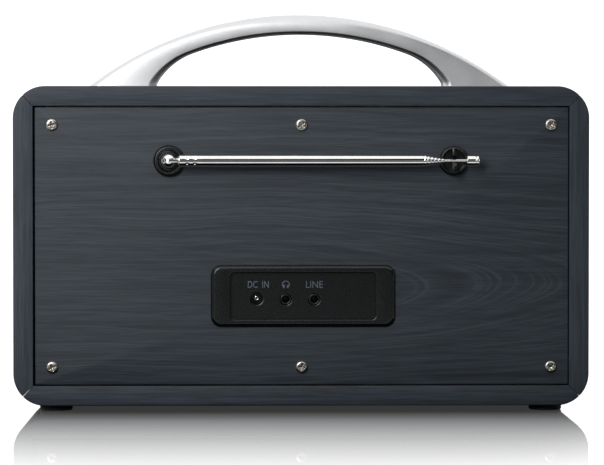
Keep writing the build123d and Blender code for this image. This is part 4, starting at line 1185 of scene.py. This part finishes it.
# %% Grille cloths
for side in ("left", "right"):
    node = "grille_cloth_" + side
    low, high = span(node)
    w, h = high[0] - low[0], high[2] - low[2]
    levels = [(w, h, 0.8 * MM, high[1])]
    for less, lift in ((0.0, 0.2), (0.15, 0.06), (0.45, 0.0)):
        levels.append((w - less * MM, h - less * MM, 0.8 * MM, low[1] + lift * MM))
    cloth = make_mesh("cloth_" + side, *moulding(levels, middle_of(low, high)))
    dress(cloth, grille_weave, "cabinet", "grille_cloth", node)
print("cloths", round(w * 1000, 1), "by", round(h * 1000, 1), "mm")

# %% [markdown]
# ## Keys
# The keys are moulded caps with a rounded edge and a dished face, each with a small printed sign.
# A flange behind the panel keeps the cap in, and a round stem reaches back to the switch.


# %% Keys
def bar(x, z, w, h, y0, y1):
    """A small flat bar about (x, z), its corners rounded by three tenths of its narrower side."""
    return prism(rounded_rectangle(w, h, min(w, h) * 0.3, 3) + [x, z], y0, y1)


panel_front = span("control_panel")[0][1]
for name in ("power", "mode", "menu", "preset"):
    low, high = span(name + "_button")
    x, z = middle_of(low, high)
    w, h, front, root = 11.0 * MM, 5.5 * MM, low[1], panel_front + 3.0 * MM
    flange = root + 0.8 * MM
    levels = [(12.2 * MM, 6.7 * MM, 0.8 * MM, y) for y in (flange, root)]
    levels.append((w, h, 1.0 * MM, root))
    for inset, d in ((0, 0.45), (0.06, 0.22), (0.22, 0.06), (0.5, 0.0), (1.1, 0.06), (1.7, 0.12)):
        rounding = max(1.0 - inset * 0.4, 0.3) * MM
        levels.append((w - 2 * inset * MM, h - 2 * inset * MM, rounding, front + d * MM))
    stem = turn([(0, flange), (1.6 * MM, flange), (1.6 * MM, high[1]), (0, high[1])], "y", (x, 0, z), 32)
    key = make_mesh("key_" + name, *gather([moulding(levels, (x, z)), stem]), soften=40)
    dress(key, key_plastic, name + "_key", "button_plastic", name + "_button")
    ink = (front + 0.14 * MM, front + 0.09 * MM)
    if name == "power":
        signs = [arc_band((x, z), 1.05 * MM, 0.28 * MM, 0.68 * np.pi, 2.32 * np.pi, *ink)]
        signs.append(bar(x, z + 0.75 * MM, 0.28 * MM, 1.2 * MM, *ink))
    elif name == "mode":
        signs = [arc_band((x, z), r * MM, 0.26 * MM, -0.28 * np.pi, 0.28 * np.pi, *ink) for r in (0.7, 1.35)]
        signs.append(bar(x - 0.2 * MM, z, 0.6 * MM, 0.6 * MM, *ink))
    elif name == "menu":
        signs = [bar(x, z + d * 0.75 * MM, 2.6 * MM, 0.3 * MM, *ink) for d in (-1, 0, 1)]
    else:
        angle = np.linspace(0, 2 * np.pi, 10, endpoint=False) + np.pi / 2
        star_r = np.where(np.arange(10) % 2 == 0, 1.35, 0.6) * MM
        signs = [prism(np.stack([x + star_r * np.cos(angle), z + star_r * np.sin(angle)], -1), *ink)]
    sign = make_mesh("sign_" + name, *gather(signs))
    dress(sign, pale_ink, name + "_key", "button_plastic")
print("four keys with signs")

# %% [markdown]
# ## Knobs
# Each knob is a lathe with fluted sides: the radius falls by a third of a millimetre in a row of
# shallow grooves. A pale line on each knob's sunk face shows where it points.

# %% Knobs
for name, flutes in (("tuning", 56), ("volume", 32)):
    low, high = span(name + "_knob")
    (x, z), r = middle_of(low, high), (high[0] - low[0]) / 2
    front, back = low[1], high[1]
    corners = [(0, back), (r, back), (r, back - 1.6 * MM), (r - 0.5 * MM, back - 1.9 * MM)]
    side = np.linspace(back - 2.2 * MM, front + 1.1 * MM, 12)
    corners += [(r - 0.55 * MM - 0.5 * MM * t, y) for t, y in zip(np.linspace(0, 1, 12), side)]
    corners += [(r - 1.9 * MM, front), (r * 0.8, front), (r * 0.74, front + 0.5 * MM), (0, front + 0.5 * MM)]
    points, faces = turn(soft_corners(corners, 0.35 * MM), "y", (x, 0, z), flutes * 6)
    u, w, y = points[:, 0] - x, points[:, 2] - z, points[:, 1]
    radius, angle = np.hypot(u, w), np.arctan2(w, u)
    groove = np.clip(np.cos(angle * flutes), 0, 1) ** 0.8
    reach = np.clip((back - 2.1 * MM - y) / (0.4 * MM), 0, 1)
    reach *= np.clip((y - front - 0.5 * MM) / (0.6 * MM), 0, 1)
    scale = 1 - 0.34 * MM * groove * reach * (radius > 0.8 * r) / np.maximum(radius, 1e-6)
    points[:, 0], points[:, 2] = x + u * scale, z + w * scale
    knob = make_mesh("knob_" + name, points, faces, soften=40)
    dress(knob, knob_plastic, name + "_control", "knob_plastic", name + "_knob")
    line = bar(x, z + 0.52 * r, 0.9 * MM, 0.3 * r, front + 0.52 * MM, front + 0.44 * MM)
    mark = make_mesh("mark_" + name, *line)
    dress(mark, pale_ink, name + "_control", "knob_plastic")
print("two fluted knobs")

# %% [markdown]
# ## Display
# Behind the window a dark module lights a time in seven-segment figures and, below it, a tuning scale:
# a row of ticks, every fifth one longer, and a pointer. Each segment is a flat six-sided bar.


# %% Display figures
def segment(a, b, width):
    """A bar from a to b, pointed at both ends: the points lie half a width in from each end."""
    a, b = np.array(a, float), np.array(b, float)
    run = (b - a) / np.linalg.norm(b - a)
    side = np.array([-run[1], run[0]]) * width / 2
    a, b = a + run * width * 0.1, b - run * width * 0.1
    inner_a, inner_b = a + run * width / 2, b - run * width / 2
    return [a, inner_a - side, inner_b - side, b, inner_b + side, inner_a + side]


TIME = "10 24"
LIT = {"0": "abcdef", "1": "bc", "2": "abged", "4": "fgbc"}
# each segment runs from one (x, z) to another, counted in widths and half-heights of a figure
ENDS = {
    "a": (0, 2, 1, 2),
    "b": (1, 2, 1, 1),
    "c": (1, 1, 1, 0),
    "d": (1, 0, 0, 0),
    "e": (0, 0, 0, 1),
    "f": (0, 1, 0, 2),
    "g": (0, 1, 1, 1),
}
module_low, module_high = span("display_module")
shine = (module_low[1] - 0.02 * MM, module_low[1] - 0.08 * MM)
shown = (module_low[2] + module_high[2]) / 2
digit_w, digit_h = 5.4 * MM, 5.2 * MM
stretch = np.array([digit_w, digit_h])
bars = []
for n, figure in enumerate(TIME):
    origin = np.array([(n - 2) * 8.6 * MM - digit_w / 2, shown - 1.5 * MM])
    for letter in LIT.get(figure, ""):
        start, end = (origin + stretch * place for place in (ENDS[letter][:2], ENDS[letter][2:]))
        bars.append(prism(segment(start, end, 1.1 * MM), *shine))
for up in (0.35, 1.0):
    bars.append(bar(0, shown + 4.8 * MM * up, 1.0 * MM, 1.0 * MM, *shine))
for n in range(-10, 11):
    long = 2.4 if n % 5 == 0 else 1.4
    bars.append(bar(n * 2.0 * MM, shown - 9.0 * MM + long * MM / 2, 0.24 * MM, long * MM, *shine))
bars.append(bar(5.0 * MM, shown - 8.0 * MM, 0.6 * MM, 5.0 * MM, *shine))
figures = make_mesh("display_figures", *gather(bars))
dress(figures, lit_segment, "cabinet", "component_black")
print(len(bars), "lit bars")

# %% [markdown]
# ## Floor
# The floor is a plain pale sheet, polished enough to mirror the radio near its foot. The mirror
# image fades with distance, and much faster in front of the radio and beside it.
# What the radio itself mirrors is another floor: dark close by, as painted shade of the radio,
# pale in a band from 15 to 30 cm away, and dark again beyond. It shapes the highlights on the chrome and the
# handle.

# %% Floor
size = 1.6
half_wide, half_deep = 0.14, 0.055
floor_points = np.array([(-size, -size, 0), (size, -size, 0), (size, size, 0), (-size, size, 0)])
floor_mesh = bpy.data.meshes.new("floor")
floor_mesh.from_pydata(floor_points.tolist(), [], [(0, 1, 2, 3)])
floor = bpy.data.objects.new("floor", floor_mesh)
bpy.context.scene.collection.objects.link(floor)
material, tree, shader = start_finish("floor_white", Roughness=0.6, Specular_IOR_Level=0.2)
speck = noise(tree, own_coordinates(tree, (300, 300, 300)), 1.0, 2)
feed(tree, shader, Base_Color=ramp(tree, speck, [(0.3, 0.24), (0.7, 0.26)]))
shader.inputs["Emission Color"].default_value = (1, 1, 1, 1)
shader.inputs["Emission Strength"].default_value = 0.92
mirror = put(tree, "ShaderNodeBsdfGlossy", {"Color": (0.95, 0.95, 0.95, 1), "Roughness": 0.02})
parts = put(tree, "ShaderNodeSeparateXYZ", {0: own_coordinates(tree)})
beside = excess(tree, maths(tree, "ABSOLUTE", parts.outputs[0]), half_wide)
before = excess(tree, maths(tree, "ABSOLUTE", parts.outputs[1]), half_deep)
away = maths(tree, "MAXIMUM", beside, before)
ahead = excess(tree, -half_deep, parts.outputs[1])
fade = maths(tree, "SUBTRACT", 0.96, maths(tree, "MULTIPLY", away, 3.1), clamp=True)
loss = maths(tree, "MULTIPLY", maths(tree, "ADD", ahead, beside), 12.0)
fade = maths(tree, "SUBTRACT", fade, loss, clamp=True)
mixer = put(tree, "ShaderNodeMixShader", {0: fade})
tree.links.new(shader.outputs[0], mixer.inputs[1])
tree.links.new(mirror.outputs[0], mixer.inputs[2])
# painted shade: near the radio's foot this floor is dark, standing in for the radio's shade on it
bounce = ramp(tree, away, [(0.12, 0.003), (0.15, 0.85), (0.30, 0.85), (0.37, 0.01)])
seen_floor = put(tree, "ShaderNodeEmission", {"Color": bounce, "Strength": 1.0})
straight = put(tree, "ShaderNodeLightPath").outputs["Is Camera Ray"]
chooser = put(tree, "ShaderNodeMixShader", {0: straight})
tree.links.new(seen_floor.outputs[0], chooser.inputs[1])
tree.links.new(mixer.outputs[0], chooser.inputs[2])
tree.links.new(chooser.outputs[0], tree.nodes["Material Output"].inputs["Surface"])
floor_mesh.materials.append(material)
print("floor", 2 * size, "m square")

# %% [markdown]
# ## Lights
# The key light is soft and stands high on the hinge side, near enough to fall off across the radio.
# A wide weak light fills the front.
# The room is pale overhead and on the front side, with a faint band at the horizon, and dark
# otherwise, so that the chrome has something dark to show. Mirrors see it at full strength and
# matt surfaces at about a third. The view itself looks into plain white.


# %% Lights
def soft_light(name, place, aim, size, power, spread):
    """A rectangular area light at place, turned to face aim; a smaller spread narrows its beam."""
    data = bpy.data.lights.new(name, "AREA")
    data.shape = "RECTANGLE"
    data.size, data.size_y = size
    data.energy = power
    data.spread = math.radians(spread)
    light = bpy.data.objects.new(name, data)
    light.location = place
    light.rotation_euler = (Vector(aim) - Vector(place)).to_track_quat("-Z", "Y").to_euler()
    bpy.context.scene.collection.objects.link(light)
    return light


soft_light("key", (0.38, 0.74, 0.42), (0.15, 0.05, 0.13), (0.50, 0.50), 1.15, 80)
soft_light("front_fill", (-0.35, -1.00, 0.55), (0.0, -0.05, 0.09), (0.70, 0.45), 1.7, 110)

world = bpy.data.worlds.new("studio")
bpy.context.scene.world = world
world.use_nodes = True
tree = world.node_tree
background = tree.nodes["Background"]
direction = put(tree, "ShaderNodeTexCoord").outputs["Generated"]
parts = put(tree, "ShaderNodeSeparateXYZ", {0: direction})
overhead = ramp(tree, parts.outputs[2], [(0.50, 0.0), (0.68, 1.0)])
beyond = ramp(tree, parts.outputs[1], [(0.0, 1.0), (0.12, 0.0)])
room = maths(tree, "MAXIMUM", overhead, maths(tree, "MULTIPLY", beyond, 0.95))
ray = put(tree, "ShaderNodeLightPath")
horizon = ramp(tree, parts.outputs[2], [(0.07, 0.25), (0.11, 0.0)])
room = maths(tree, "MAXIMUM", room, horizon)
room = maths(tree, "ADD", maths(tree, "MULTIPLY", room, 1.2), 0.012)
soft_room = maths(tree, "MULTIPLY", room, 0.35)
room = blend(tree, ray.outputs["Is Glossy Ray"], soft_room, room)
tone = blend(tree, ray.outputs["Is Camera Ray"], room, (1.35, 1.35, 1.35))
tree.links.new(tone, background.inputs["Color"])
background.inputs["Strength"].default_value = 1.0
bpy.context.scene.view_settings.view_transform = "Standard"
print("lights: a key, a front fill and a pale room")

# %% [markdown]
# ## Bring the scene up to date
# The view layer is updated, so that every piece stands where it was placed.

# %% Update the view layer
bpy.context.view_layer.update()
